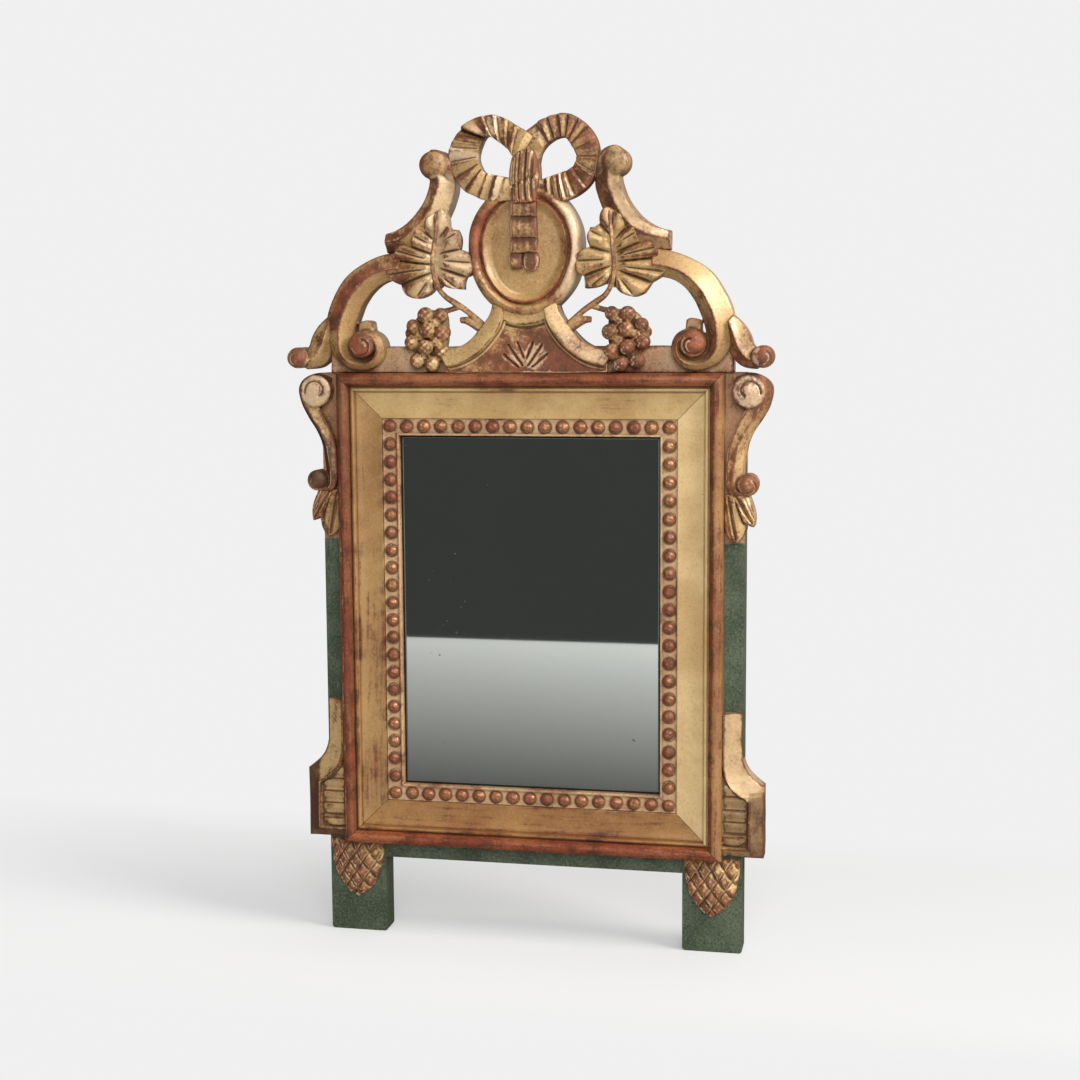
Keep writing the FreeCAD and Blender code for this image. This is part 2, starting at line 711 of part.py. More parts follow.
# Crest, from the base upwards
def crest_dowels():
    rods = []
    for side in (-1, 1):
        for share in DOWEL_HALF_SHARES:
            middle = at(side * share * OUT_HALF_W, RAIL_TOP_Z - DOWEL_L / 2, (BASE_BACK + FRAME_T) / 2)
            corners = [middle + FreeCAD.Vector(DOWEL_R * across, DOWEL_R * deep, 0)
                       for across, deep in around(PEG_SIDES)]
            rods.append(polygon(corners).extrude(FreeCAD.Vector(0, 0, DOWEL_L)))
    return Part.makeCompound(rods)


def base_board():
    half = OUT_HALF_W + BASE_END
    return block(-half, half, RAIL_TOP_Z, RAIL_TOP_Z + BASE_H, BASE_BACK, BASE_FRONT)


def medallion_board():
    """The whole oval with its rim and sunk field, before the bow is let into it."""
    steps = ((0, CREST_BACK), (0, MEDALLION_EDGE_FRONT), (MEDALLION_SLOPE, MEDALLION_SLOPE_FRONT),
             (MEDALLION_CROWN, MEDALLION_CROWN_FRONT), (MEDALLION_STEP, MEDALLION_STEP_FRONT),
             (MEDALLION_FIELD, MEDALLION_FIELD_FRONT))
    sections = []
    for inset, depth in steps:
        half_w = MEDALLION_HALF_W - inset
        half_h = MEDALLION_HALF_H - inset
        sections.append([at(half_w * across, MEDALLION_Z + half_h * up, depth)
                         for across, up in around(OVAL_SIDES)])
    return facet_loft(sections)


def arch_band():
    """The band that runs from the medallion down to the base."""
    fronts = (ARCH_OUTER_FRONT, ARCH_ARRIS_FRONT, ARCH_INNER_FRONT)
    band = ridged_arm(crest_points(ARCH_OUTER_SHARES), crest_points(ARCH_INNER_SHARES), ARCH_ARRIS_SHARE,
                      CREST_BACK, fronts)
    return cut_all(band, [base_board(), medallion_board()])


def crest_panel(bands):
    """The field between the bands, with its neck moulding and leaf cuts."""
    corners = [crest((0, PANEL_TOP_SHARE))]
    for outer, inner in zip(crest_points(ARCH_OUTER_SHARES), crest_points(ARCH_INNER_SHARES)):
        corners.append(((outer[0] + inner[0]) / 2, (outer[1] + inner[1]) / 2))
    corners += [(corners[-1][0], RAIL_TOP_Z), crest((0, 0))]
    half = cut_out(corners, CREST_BACK, PANEL_FRONT)
    cuts = []
    for start, end in LEAF_CUT_SHARES:
        cuts.append(groove(crest(start), crest(end), VEIN_W, VEIN_CUT, PANEL_FRONT))
    cuts.append(groove(crest(NECK_SHARES[0]), crest(NECK_SHARES[1]), VEIN_W, VEIN_CUT, PANEL_FRONT))
    half = cut_all(half, cuts)
    field = half.fuse(mirrored(half)).removeSplitter()
    return cut_all(field, [base_board(), medallion_board()] + bands)


def bow_knot():
    """The knot, with folds that run up and down."""
    points = crest_points(KNOT_SHARES)
    knot = cut_out(points[:-1], BOW_BACK, KNOT_FRONT)
    folds = []
    for share in KNOT_FOLD_SHARES:
        x = share * OUT_HALF_W
        folds.append(groove((x, points[0][1]), (x, points[4][1]), VEIN_W, VEIN_CUT, KNOT_FRONT))
    return cut_all(knot, folds)


def loop_band():
    """One loop of ribbon with its hole, before it is pleated."""
    points = crest_points(LOOP_SHARES)
    top = crest(KNOT_SHARES[4])
    band = slab(points[0], [tuple(points[1:]), (top,), (points[0],)], BOW_BACK, LOOP_FRONT)
    hole = crest_points(LOOP_HOLE_SHARES)
    return band.cut(slab(hole[0], [tuple(hole[1:])], BOW_BACK - OVERRUN, LOOP_FRONT + OVERRUN))


def bow_loop(band):
    """The loop with pleats that fan out from its middle."""
    middle = crest(LOOP_MIDDLE_SHARES)
    pleats = []
    for index in range(PLEAT_COUNT):
        angle = math.radians(PLEAT_FIRST_DEG + index * PLEAT_TURN_DEG)
        end = (middle[0] + PLEAT_L * math.cos(angle), middle[1] + PLEAT_L * math.sin(angle))
        pleats.append(groove(middle, end, PLEAT_W, PLEAT_CUT, LOOP_FRONT))
    return cut_all(band, pleats + [bow_knot()])


def ribbon_tail():
    """The short end of ribbon that lies on the medallion's field, stepped in folds."""
    low = TAIL_TOP_Z - TAIL_L
    hip = low + TAIL_TIP_L
    notch = low + TAIL_NOTCH
    runs = [((TAIL_HALF_W, TAIL_TOP_Z),), ((TAIL_HALF_W, hip + TAIL_TIP_L),), ((TAIL_TIP_HALF_W, hip),),
            ((TAIL_TIP_HALF_W / 2, low), (0, notch)),
            ((-TAIL_TIP_HALF_W / 2, low), (-TAIL_TIP_HALF_W, hip)), ((-TAIL_HALF_W, hip + TAIL_TIP_L),)]
    tail = slab((-TAIL_HALF_W, TAIL_TOP_Z), runs, MEDALLION_FIELD_FRONT, TAIL_FRONT)
    folds = []
    for index in range(TAIL_FOLD_COUNT):
        z = hip + TAIL_TIP_L / 2 + index * (TAIL_TOP_Z - hip) / TAIL_FOLD_COUNT
        folds.append(groove((-TAIL_TIP_HALF_W, z), (TAIL_TIP_HALF_W, z), PLEAT_W, PLEAT_CUT, TAIL_FRONT))
    return cut_all(tail, folds + [medallion_board()])


def spiral_cut(place, outer_r, inner_r, front):
    """A curved cut that winds inwards once round a volute's eye."""
    def spiral(extra):
        points = []
        for index in range(DISC_SIDES):
            share = index / (DISC_SIDES - 1)
            angle = math.radians(VOLUTE_START_DEG - share * VOLUTE_TURN_DEG)
            radius = outer_r + (inner_r - outer_r) * share + extra
            points.append((place[0] + radius * math.cos(angle), place[1] + radius * math.sin(angle)))
        return points
    inside = spiral(-VOLUTE_GROOVE_W / 2)
    inside.reverse()
    return cut_out(spiral(VOLUTE_GROOVE_W / 2) + inside, front - VOLUTE_GROOVE_CUT, front + OVERRUN)


def c_scroll():
    """The large scroll: its arm, the volute at its foot and the raised eye."""
    arm = ridged_arm(crest_points(C_OUTER_SHARES), crest_points(C_INNER_SHARES), C_ARRIS_SHARE,
                     CREST_BACK, (C_FRONT, C_FRONT, C_INNER_FRONT))
    place = crest(VOLUTE_PLACE_SHARES)
    disc = faceted(place, DISC_SIDES,
                   ((VOLUTE_R, CREST_BACK), (VOLUTE_R, VOLUTE_FRONT), (VOLUTE_RIM_R, VOLUTE_RIM_FRONT)))
    scroll = arm.fuse(disc)
    scroll = scroll.cut(spiral_cut(place, VOLUTE_RIM_R, VOLUTE_EYE_R, VOLUTE_RIM_FRONT))
    eye = faceted(place, BALL_SIDES,
                  ((VOLUTE_EYE_R, VOLUTE_FRONT - VOLUTE_GROOVE_CUT), (VOLUTE_EYE_R, VOLUTE_RIM_FRONT),
                   (VOLUTE_EYE_TOP_R, VOLUTE_EYE_FRONT)))
    return scroll.fuse(eye).cut(base_board())


def outer_curl(scroll):
    """The small curl outside the large scroll, rolled up into a ball."""
    arm = ridged_arm(crest_points(CURL_OUTER_SHARES), crest_points(CURL_INNER_SHARES), CURL_ARRIS_SHARE,
                     CREST_BACK, (CURL_OUTER_FRONT, CURL_FRONT, CURL_INNER_FRONT))
    ball = faceted(crest(CURL_PLACE_SHARES), BALL_SIDES,
                   ((CURL_BALL_R, CREST_BACK), (CURL_BALL_R, CURL_BALL_SIDE_FRONT),
                    (CURL_BALL_TOP_R, CURL_BALL_FRONT)))
    return cut_all(arm.fuse(ball), [base_board(), scroll])


def upper_scroll(scroll, loop):
    """The scroll from the ball beside the bow down to its square end."""
    arm = ridged_arm(crest_points(UPPER_OUTER_SHARES), crest_points(UPPER_INNER_SHARES), UPPER_ARRIS_SHARE,
                     CREST_BACK, (UPPER_OUTER_FRONT, UPPER_FRONT, UPPER_INNER_FRONT))
    ball = faceted(crest(UPPER_PLACE_SHARES), BALL_SIDES,
                   ((UPPER_BALL_R, CREST_BACK), (UPPER_BALL_R, UPPER_BALL_SIDE_FRONT),
                    (UPPER_BALL_TOP_R, UPPER_BALL_FRONT)))
    return cut_all(arm.fuse(ball), [scroll, loop])


def vine_leaf(behind):
    """A five-lobed leaf with veins that fan out from its heart."""
    leaf = slab(crest(LEAF_START_SHARES), crest_runs(LEAF_LOBE_SHARES), LEAF_BACK, LEAF_FRONT)
    heart = crest(LEAF_HEART_SHARES)
    veins = []
    for share in LEAF_VEIN_SHARES:
        veins.append(groove(heart, crest(share), VEIN_W, VEIN_CUT, LEAF_FRONT))
    return cut_all(leaf, veins + behind)


def grapes(band):
    """A bunch of berries round a core that stands on the base."""
    middle_x, middle_z = crest(BUNCH_PLACE_SHARES)
    places = [(middle_x + GRAPE_R * share[0], middle_z + GRAPE_R * share[1]) for share in GRAPE_SHARES]
    rings = []
    for degrees in GRAPE_RING_DEG:
        angle = math.radians(degrees)
        rings.append((GRAPE_R * math.cos(angle), GRAPE_MIDDLE + GRAPE_R * math.sin(angle)))
    core = cut_out(places[:BUNCH_RIM_COUNT], BUNCH_BACK, BUNCH_FRONT)
    berries = [faceted(place, GRAPE_SIDES, rings) for place in places]
    return cut_all(core.fuse(berries), [base_board(), band])


def vine_stem(others):
    """The stem from the leaf to the arch band, with a branch to the grapes."""
    stem = slab(crest(STEM_START_SHARES), crest_runs(STEM_SHARES), STEM_BACK, STEM_FRONT)
    branch = cut_out(crest_points(BRANCH_SHARES), STEM_BACK, STEM_FRONT)
    return cut_all(stem.fuse(branch), others)


# Sides and feet
def side_point(share):
    """A point of the side scroll, from its shares of its own width and height."""
    return (OUT_HALF_W + share[0] * SIDE_SCROLL_W, RAIL_TOP_Z - SIDE_SCROLL_H + share[1] * SIDE_SCROLL_H)


def side_scroll(stile):
    """The S-shaped scroll beside the frame, with a volute above and a ball below."""
    outer = [side_point(share) for share in SIDE_OUTER_SHARES]
    inner = [side_point(share) for share in SIDE_INNER_SHARES]
    arm = ridged_arm(outer, inner, SIDE_ARRIS_SHARE, SIDE_BACK,
                     (SIDE_OUTER_FRONT, SIDE_FRONT, SIDE_INNER_FRONT))
    disc = faceted(side_point(SIDE_VOLUTE_SHARES), DISC_SIDES,
                   ((SIDE_VOLUTE_R, SIDE_BACK), (SIDE_VOLUTE_R, SIDE_VOLUTE_FRONT)))
    eye = faceted(side_point(SIDE_VOLUTE_SHARES), BALL_SIDES,
                  ((SIDE_EYE_R, SIDE_BACK), (SIDE_EYE_R, SIDE_EYE_SIDE_FRONT),
                   (SIDE_EYE_TOP_R, SIDE_EYE_FRONT)))
    ball = faceted(side_point(SIDE_BALL_SHARES), BALL_SIDES,
                   ((SIDE_BALL_R, SIDE_BACK), (SIDE_BALL_R, SIDE_BALL_SIDE_FRONT),
                    (SIDE_BALL_TOP_R, SIDE_BALL_FRONT)))
    return cut_all(arm.fuse([disc, eye, ball]), [stile])


def husk_point(share):
    """A point of the husk, from its shares of its own width and height."""
    low = RAIL_TOP_Z - SIDE_SCROLL_H + HUSK_RISE - HUSK_H
    return (OUT_HALF_W + share[0] * HUSK_W, low + share[1] * HUSK_H)


def side_husk(stile, scroll):
    """Two pointed leaves that hang from the side scroll."""
    runs = [tuple(husk_point(share) for share in run) for run in HUSK_SHARES]
    husk = slab(husk_point(HUSK_START_SHARES), runs, SIDE_BACK, HUSK_FRONT)
    folds = []
    for start, end in HUSK_FOLD_SHARES:
        folds.append(groove(husk_point(start), husk_point(end), VEIN_W, VEIN_CUT, HUSK_FRONT))
    return cut_all(husk, folds + [stile, scroll])


def corner_point(share):
    """A point of the corner block, from its shares of its own width and height."""
    low = CORNER_DROP - OUT_HALF_H
    return (OUT_HALF_W + share[0] * CORNER_W, low + share[1] * CORNER_H)


def corner_runs(runs):
    return [tuple(corner_point(share) for share in run) for run in runs]


def corner_block(stile):
    """The block that widens the frame above each foot: a bevelled border round a fluted panel."""
    edge_start = corner_point(CORNER_EDGE_SHARES[-1][0])
    ridge_start = corner_point(CORNER_RIDGE_SHARES[-1][0])
    panel_start = corner_point(CORNER_PANEL_SHARES[-1][0])
    tongue_start = corner_point(TONGUE_SHARES[-1][-1])
    edge = outline(edge_start, corner_runs(CORNER_EDGE_SHARES), BEVEL_FLAT_COUNT)
    ridge = outline(ridge_start, corner_runs(CORNER_RIDGE_SHARES), BEVEL_FLAT_COUNT)
    body = facet_loft([
        [at(x, z, CORNER_BACK) for x, z in edge], [at(x, z, CORNER_EDGE_FRONT) for x, z in edge],
        [at(x, z, CORNER_RIDGE_FRONT) for x, z in ridge]])
    panel = slab(panel_start, corner_runs(CORNER_PANEL_SHARES), CORNER_PANEL_FRONT,
                 CORNER_RIDGE_FRONT + OVERRUN)
    tongue = slab(tongue_start, corner_runs(TONGUE_SHARES), CORNER_EDGE_FRONT, TONGUE_FRONT)
    flutes = []
    for share in FLUTE_SHARES:
        left, z = corner_point((0, share))
        flutes.append(groove((left - OVERRUN, z), (left + CORNER_W * CORNER_PANEL_SHARES[1][0][0], z),
                             FLUTE_W, FLUTE_CUT, CORNER_PANEL_FRONT))
    return cut_all(body, [panel] + flutes).fuse(tongue).cut(stile)


def cone_outline(share, depth):
    """The pine cone's outline, or the same drawn in towards its middle by a share."""
    middle = STILE_OUT - STILE_W / 2
    half = CONE_W / 2 * share
    top = -OUT_HALF_H
    height = CONE_H * share
    low = top - (CONE_H - height) / 2 - height
    high = low + height
    cheek = low + height * CONE_CHEEK_SHARE
    belly_x = half * CONE_BELLY_SHARES[0]
    belly_z = low + height * CONE_BELLY_SHARES[1]
    runs = [((middle + half, high),), ((middle + half, cheek),),
            ((middle + belly_x, belly_z), (middle, low)),
            ((middle - belly_x, belly_z), (middle - half, cheek)), ((middle - half, high),)]
    return [at(x, z, depth) for x, z in outline((middle - half, high), runs, BEVEL_FLAT_COUNT)]


def pine_cone():
    """A rounded cone whose scales are left standing between crossing grooves."""
    body = facet_loft([cone_outline(1, FRAME_T), cone_outline(1, CONE_SIDE_FRONT),
                       cone_outline(CONE_TOP_SHARE, CONE_FRONT)])
    middle_x = STILE_OUT - STILE_W / 2
    middle_z = -OUT_HALF_H - CONE_H / 2
    lean = CONE_H / math.tan(math.radians(SCALE_DEG))
    count = math.ceil((CONE_W + lean) / SCALE_W)
    grooves = []
    for index in range(count):
        x = middle_x + (index - (count - 1) / 2) * SCALE_W
        for way in (-1, 1):
            grooves.append(groove((x - way * lean / 2, middle_z - CONE_H / 2),
                                  (x + way * lean / 2, middle_z + CONE_H / 2),
                                  SCALE_GROOVE_W, SCALE_CUT, CONE_FRONT))
    return cut_all(body, grooves)


# Hanging hardware
def screws():
    """Two countersunk screws through the strap into the rail."""
    face = HOUSING_D - STRAP_T
    rings = ((SCREW_HEAD_R, face), (SCREW_R, face + SCREW_HEAD_T), (SCREW_R, face + SCREW_L))
    places = [(0, PIVOT_Z - STRAP_L * share) for share in SCREW_DROP_SHARES]
    return Part.makeCompound([faceted(place, SCREW_SIDES, rings) for place in places])


def hanger_strap():
    """The strap: a plate screwed to the rail, rolled round the ring's bar at its top."""
    half = STRAP_W / 2
    plate = block(-half, half, PIVOT_Z - STRAP_L, PIVOT_Z, HOUSING_D - STRAP_T, HOUSING_D)
    along = FreeCAD.Vector(1, 0, 0)
    foot = at(-half, PIVOT_Z, PIVOT_D)
    knuckle = Part.makeCylinder(KNUCKLE_R, STRAP_W, foot, along)
    bore = Part.makeCylinder(RING_WIRE_R + RING_CLEARANCE, STRAP_W, foot, along)
    return plate.fuse(knuckle).cut(bore).cut(screws())


def ring_path():
    """The middle of the ring's wire, from the left end of its straight bar."""
    bar = RING_HALF_W - RING_CORNER_R
    low = PIVOT_Z - RING_LEG
    bend = RING_CORNER_R * math.sqrt(0.5)
    corner_z = PIVOT_Z - RING_CORNER_R
    runs = [((bar, PIVOT_Z),), ((bar + bend, corner_z + bend), (RING_HALF_W, corner_z)),
            ((RING_HALF_W, low),), ((0, low - RING_HALF_W), (-RING_HALF_W, low)),
            ((-RING_HALF_W, corner_z),), ((-bar - bend, corner_z + bend), (-bar, PIVOT_Z))]
    return outline((-bar, PIVOT_Z), runs, RING_FLAT_COUNT)


def hanger_ring():
    """A D-shaped wire ring, hanging down from its straight bar."""
    path = ring_path()
    sections = []
    for index, (x, z) in enumerate(path):
        ahead = path[(index + 1) % len(path)]
        behind = path[index - 1]
        across = FreeCAD.Vector(ahead[1] - behind[1], 0, behind[0] - ahead[0]).normalize()
        corners = []
        for out, deep in around(WIRE_SIDES):
            corners.append(at(x, z, PIVOT_D) + across * (RING_WIRE_R * out) + forward(RING_WIRE_R * deep))
        sections.append(corners)
    return facet_loft(sections, True)


def save_pair(name, right):
    """Write the right-hand piece and its mirror image."""
    save(name + "_right", right)
    save(name + "_left", mirrored(right))


def main():
    stile = right_stile()
    base = base_board()
    band = arch_band()
    ribbon = loop_band()
    loop = bow_loop(ribbon)
    knot = bow_knot()
    scroll = c_scroll()
    curl = outer_curl(scroll)
    upper = upper_scroll(scroll, loop)
    medallion = cut_all(medallion_board(), [ribbon, mirrored(ribbon), knot])
    leaf = vine_leaf([scroll, upper, medallion])
    bunch = grapes(band)
    side = side_scroll(stile)

    save_pair("stile", stile)
    save("top_rail", top_rail())
    save("bottom_rail", rail(RAIL_LOW_Z, OPEN_LOW_Z))
    save("tenon_pegs", pegs())

    top_stick = stick(torus_profile(), OUT_HALF_H, 2 * OUT_HALF_W, STICK_W)
    side_stick = quarter_turn(stick(torus_profile(), OUT_HALF_W, 2 * OUT_HALF_H, STICK_W))
    save("moulding_top", top_stick)
    save("moulding_bottom", half_turn(top_stick))
    save("moulding_right", side_stick)
    save("moulding_left", half_turn(side_stick))

    pearl_w = SIGHT_HALF_W + PEARL_STRIP_W
    pearl_h = SIGHT_HALF_H + PEARL_STRIP_W
    top_pearls = pearl_strip(pearl_h, 2 * pearl_w, True)
    side_pearls = quarter_turn(pearl_strip(pearl_w, 2 * pearl_h, False))
    save("beading_top", top_pearls)
    save("beading_bottom", half_turn(top_pearls))
    save("beading_right", side_pearls)
    save("beading_left", half_turn(side_pearls))

    save("mirror_plate", mirror_plate())
    save("glazing_blocks", glazing_blocks())
    save("backboard_upper", backboard(1))
    save("backboard_lower", backboard(-1))
    save("backboard_nails", nails())

    save("crest_base", base.cut(crest_dowels()))
    save("crest_dowels", crest_dowels())
    save("crest_panel", crest_panel([band, mirrored(band)]))
    save_pair("crest_arch", band)
    save("medallion", medallion)
    save_pair("bow_loop", loop)
    save("bow_knot", knot)
    save("ribbon_tail", ribbon_tail())
    save_pair("c_scroll", scroll)
    save_pair("outer_curl", curl)
    save_pair("upper_scroll", upper)
    save_pair("vine_leaf", leaf)
    save_pair("vine_stem", vine_stem([leaf, band, bunch]))
    save_pair("grapes", bunch)

    save_pair("side_scroll", side)
    save_pair("side_husk", side_husk(stile, side))
    save_pair("corner_block", corner_block(stile))
    save_pair("pinecone", pine_cone())

    save("hanger_strap", hanger_strap())
    save("hanger_screws", screws())
    save("hanger_ring", hanger_ring())


main()
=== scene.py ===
# %% [markdown]
# # A carved and gilded wall mirror
# The real object is a softwood frame with a green painted back frame, a gilded moulding round the glass,
# and a lime-wood crest that is carved, covered in gesso and red clay (bole), and then gilded with leaf.
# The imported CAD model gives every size. Here each gilded piece is carved again as a dense mesh, and the
# plain joinery behind it keeps its CAD shape and gets its paint, wood and iron.

import math

import bpy
import numpy as np
from mathutils import Matrix, Vector
from mathutils.geometry import delaunay_2d_cdt


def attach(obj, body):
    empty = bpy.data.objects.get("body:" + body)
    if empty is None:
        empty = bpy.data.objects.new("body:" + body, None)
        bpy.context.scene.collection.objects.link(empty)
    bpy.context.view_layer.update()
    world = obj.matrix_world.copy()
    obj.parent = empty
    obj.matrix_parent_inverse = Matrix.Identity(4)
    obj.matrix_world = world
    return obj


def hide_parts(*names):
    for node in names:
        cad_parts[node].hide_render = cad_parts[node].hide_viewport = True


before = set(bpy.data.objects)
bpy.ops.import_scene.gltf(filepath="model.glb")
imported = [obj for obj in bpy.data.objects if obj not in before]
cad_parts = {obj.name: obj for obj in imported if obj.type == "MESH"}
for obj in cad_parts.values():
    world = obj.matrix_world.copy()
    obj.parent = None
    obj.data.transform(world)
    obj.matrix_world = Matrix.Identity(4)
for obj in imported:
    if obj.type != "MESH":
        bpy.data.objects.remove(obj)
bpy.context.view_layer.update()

# %% [markdown]
# ## Sizes
# A carver measures from the middle of the glass, so the tables below hold millimetres: x to the right, z
# up from the glass's middle, and a depth in front of the wall. The part's own origin is the hinge of the
# hanging ring, 194.95 mm above the middle of the glass, and its front faces -Y.

# %% Millimetres into the part's frame
MM = 0.001
HINGE_Z, SOLE_Z = 194.95, -281.35
OUT_HALF_W, OUT_HALF_H = 161.65, 200.35
SIGHT_HALF_W, SIGHT_HALF_H = 109.8, 148.5
STRIP_W = 14.1
FACE = 20.0
FLOOR_Z = (SOLE_Z - HINGE_Z) * MM


def to_metres(points):
    """(x, z, depth) in millimetres as (x, y, z) in metres."""
    x, z, depth = np.asarray(points, float).T
    return np.stack([x, -depth, z - HINGE_Z], 1) * MM


def to_millimetres(places):
    """And back: (x, y, z) in metres as (x, z, depth) in millimetres."""
    x, y, z = (np.asarray(places, float) / MM).T
    return np.stack([x, z + HINGE_Z, -y], 1)


print("the feet stand at", round(FLOOR_Z, 4), "m")

# %% [markdown]
# ## Camera
# The place and turn of the camera come from the photograph's perspective: the frame's edges meet at points
# that only one viewpoint gives. The three directions below are the camera's own right, up and back.

# %% Camera
CAMERA_PLACE = (0.3098, -1.4594, 0.04295)
CAMERA_RIGHT = (0.97894, 0.20405, -0.0060)
CAMERA_UP = (-0.018366, 0.117302, 0.992923)
CAMERA_BACK = (0.20331, -0.971914, 0.118581)


def show(thing):
    """Link an object to the scene."""
    bpy.context.scene.collection.objects.link(thing)
    return thing


lens = bpy.data.cameras.new("camera")
lens.lens, lens.sensor_width = 59.6, 36.0
lens.clip_start, lens.clip_end = 0.05, 60.0
camera = show(bpy.data.objects.new("camera", lens))
turn = Matrix((CAMERA_RIGHT, CAMERA_UP, CAMERA_BACK)).transposed().to_4x4()
camera.matrix_world = Matrix.Translation(CAMERA_PLACE) @ turn
bpy.context.scene.camera = camera
print("camera", CAMERA_PLACE, "lens", lens.lens)

# %% [markdown]
# ## Small helpers for shader nodes
# A shader tree is a graph, and most of its nodes do one sum. A `Value` stands for an output in that graph,
# and +, - and * on it add the Math nodes, so that a finish reads like a recipe.

# %% Node helpers
class Value:
    """An output of a shader node. Sums on it add Math nodes, and ["Name"] is another output of its node."""

    def __init__(self, socket):
        self.socket = socket
        self.tree = socket.id_data

    def __getitem__(self, name):
        return Value(self.socket.node.outputs[name])

    def maths(self, operation, *others):
        return add(self.tree, "Math", dict(enumerate((self, *others))), operation=operation)

    def __add__(self, other):
        return self.maths("ADD", other)

    def __sub__(self, other):
        return self.maths("SUBTRACT", other)

    def __rsub__(self, other):
        return self.maths("MULTIPLY_ADD", -1.0, other)

    def __mul__(self, other):
        return self.maths("MULTIPLY", other)

    def __abs__(self):
        return self.maths("ABSOLUTE")

    def larger(self, other):
        return self.maths("MAXIMUM", other)


def fill(socket, value):
    """Put a number or colour into a socket, or link a value to it."""
    if isinstance(value, Value):
        value.tree.links.new(value.socket, socket)
    elif hasattr(socket.default_value, "__len__") and len(socket.default_value) == 4:
        socket.default_value = (*value[:3], 1.0)
    else:
        socket.default_value = value


def add(tree, kind, sockets=None, output=0, **settings):
    """Add a node, fill its sockets and give back one of its outputs."""
    made = tree.nodes.new("ShaderNode" + kind)
    for name, value in settings.items():
        setattr(made, name, value)
    for name, value in (sockets or {}).items():
        fill(made.inputs[name], value)
    return Value(made.outputs[output])


print("node helpers ready")


# %% Ingredients of a finish
def fade(value, low, high, to_low=0.0, to_high=1.0):
    """0 up to `low`, 1 from `high` on, and a soft step between them."""
    return add(value.tree, "MapRange", {"Value": value, "From Min": low, "From Max": high, "To Min": to_low,
                                        "To Max": to_high}, interpolation_type="SMOOTHSTEP")


def mix(share, first, second):
    """Two colours mixed by a share."""
    return add(share.tree, "Mix", {0: share, 6: first, 7: second}, 2, data_type="RGBA")


def layered(colour, *coats):
    """A colour under coats, each given as (share, colour)."""
    for share, over in coats:
        colour = mix(share, colour, over)
    return colour


def noise(place, scale, detail=4.0, rough=0.55, stretch=None):
    """Cloudy values from 0 to 1, `scale` clouds to the metre."""
    if stretch:
        place = add(place.tree, "Mapping", {"Vector": place, "Scale": stretch})
    return add(place.tree, "TexNoise", {"Vector": place, "Scale": scale, "Detail": detail,
                                        "Roughness": rough})


def places(tree):
    """Where a point lies on its object, in metres."""
    return add(tree, "TexCoord", output="Object")


def parts(vector):
    """The ["X"], ["Y"] and ["Z"] of a place or a direction."""
    return add(vector.tree, "SeparateXYZ", {"Vector": vector})


def facing(tree):
    """The way a surface faces: its ["Y"] is -1 at the front and 1 at the back."""
    return parts(add(tree, "NewGeometry", output="Normal"))


def wood_grain(where, light, dark):
    """Upright grain of the wood behind the paint and the gilding."""
    return mix(noise(where, 60, 6, 0.6, (6.0, 6.0, 0.5)), light, dark)


def new_group(name, inputs, outputs):
    """A node group with named sockets: its tree, its inputs as values, and the sockets that it puts out."""
    tree = bpy.data.node_groups.new(name, "ShaderNodeTree")
    for way, sockets in (("INPUT", inputs), ("OUTPUT", outputs)):
        for label, value in sockets.items():
            plain = isinstance(value, float)
            kind = "NodeSocketFloat" if plain else "NodeSocketColor"
            socket = tree.interface.new_socket(name=label, in_out=way, socket_type=kind)
            socket.default_value = value if plain else (*value, 1.0)
    return tree, Value(tree.nodes.new("NodeGroupInput").outputs[0]), tree.nodes.new("NodeGroupOutput").inputs


print("ingredients ready: fade, mix, layered, noise, wood grain and groups")

# %% [markdown]
# ## Worn gilding, with painted shade
# Gold leaf lies on red bole, and the bole on pale gesso. Hands and dusters rub it first where the carving
# stands proud, so red shows on the arrises and pink-white gesso where the rub is deepest, while dirt settles
# in the hollows. One node group holds that order of layers, and it also paints shade: more red bole on
# surfaces that face left, and darkening on surfaces turned away from the front. It reads what is stored on
# each mesh further down: `worn` and `hollow`, measured from the carving itself and added to by rules that
# also paint shade, `pale` for bright leaf and painted highlights, and `flow` for the run of a stick.

# %% Worn gilding and painted shade, as a node group
gild_tree, given, put_out = new_group("gilding_wear_and_shade", {
    "Leaf": (0.60, 0.40, 0.165), "Leaf Shade": (0.37, 0.212, 0.078), "Pale": (0.86, 0.65, 0.44),
    "Bole": (0.22, 0.052, 0.021), "Bole Dark": (0.085, 0.022, 0.010), "Gesso": (0.66, 0.42, 0.26),
    "Shade And Grime": (0.072, 0.028, 0.012), "Wood": (0.21, 0.118, 0.062), "Wear": 0.6, "Rub": 0.0, "Dirt": 0.8,
    "Streak": 0.0, "Patches": 1.0, "Specks": 1.0, "Shine": 0.16, "Side Wear": 0.4, "Side Dirt": 1.0},
    {"Color": (0.0, 0.0, 0.0), "Metallic": 0.0, "Roughness": 0.5, "Coat": 0.0, "Height": 0.0})
where, side = places(gild_tree), facing(gild_tree)
broad, middle, fine = noise(where, 16, 4), noise(where, 75, 6, 0.62), noise(where, 420, 5, 0.6)
worn, hollow, flow, pale = [add(gild_tree, "Attribute", output="Fac", attribute_name=name)
                            for name in ("worn", "hollow", "flow", "pale")]
lengthwise = mix(flow, (1.0, 1.0, 0.07), (0.07, 1.0, 1.0))
streaks = noise(add(gild_tree, "VectorMath", {0: where, 1: lengthwise}, operation="MULTIPLY"), 330, 4, 0.6)
dots, specks = noise(where, 560, 4, 0.7), fade(noise(where, 700, 2), 0.68, 0.75, 0.0, 0.6)

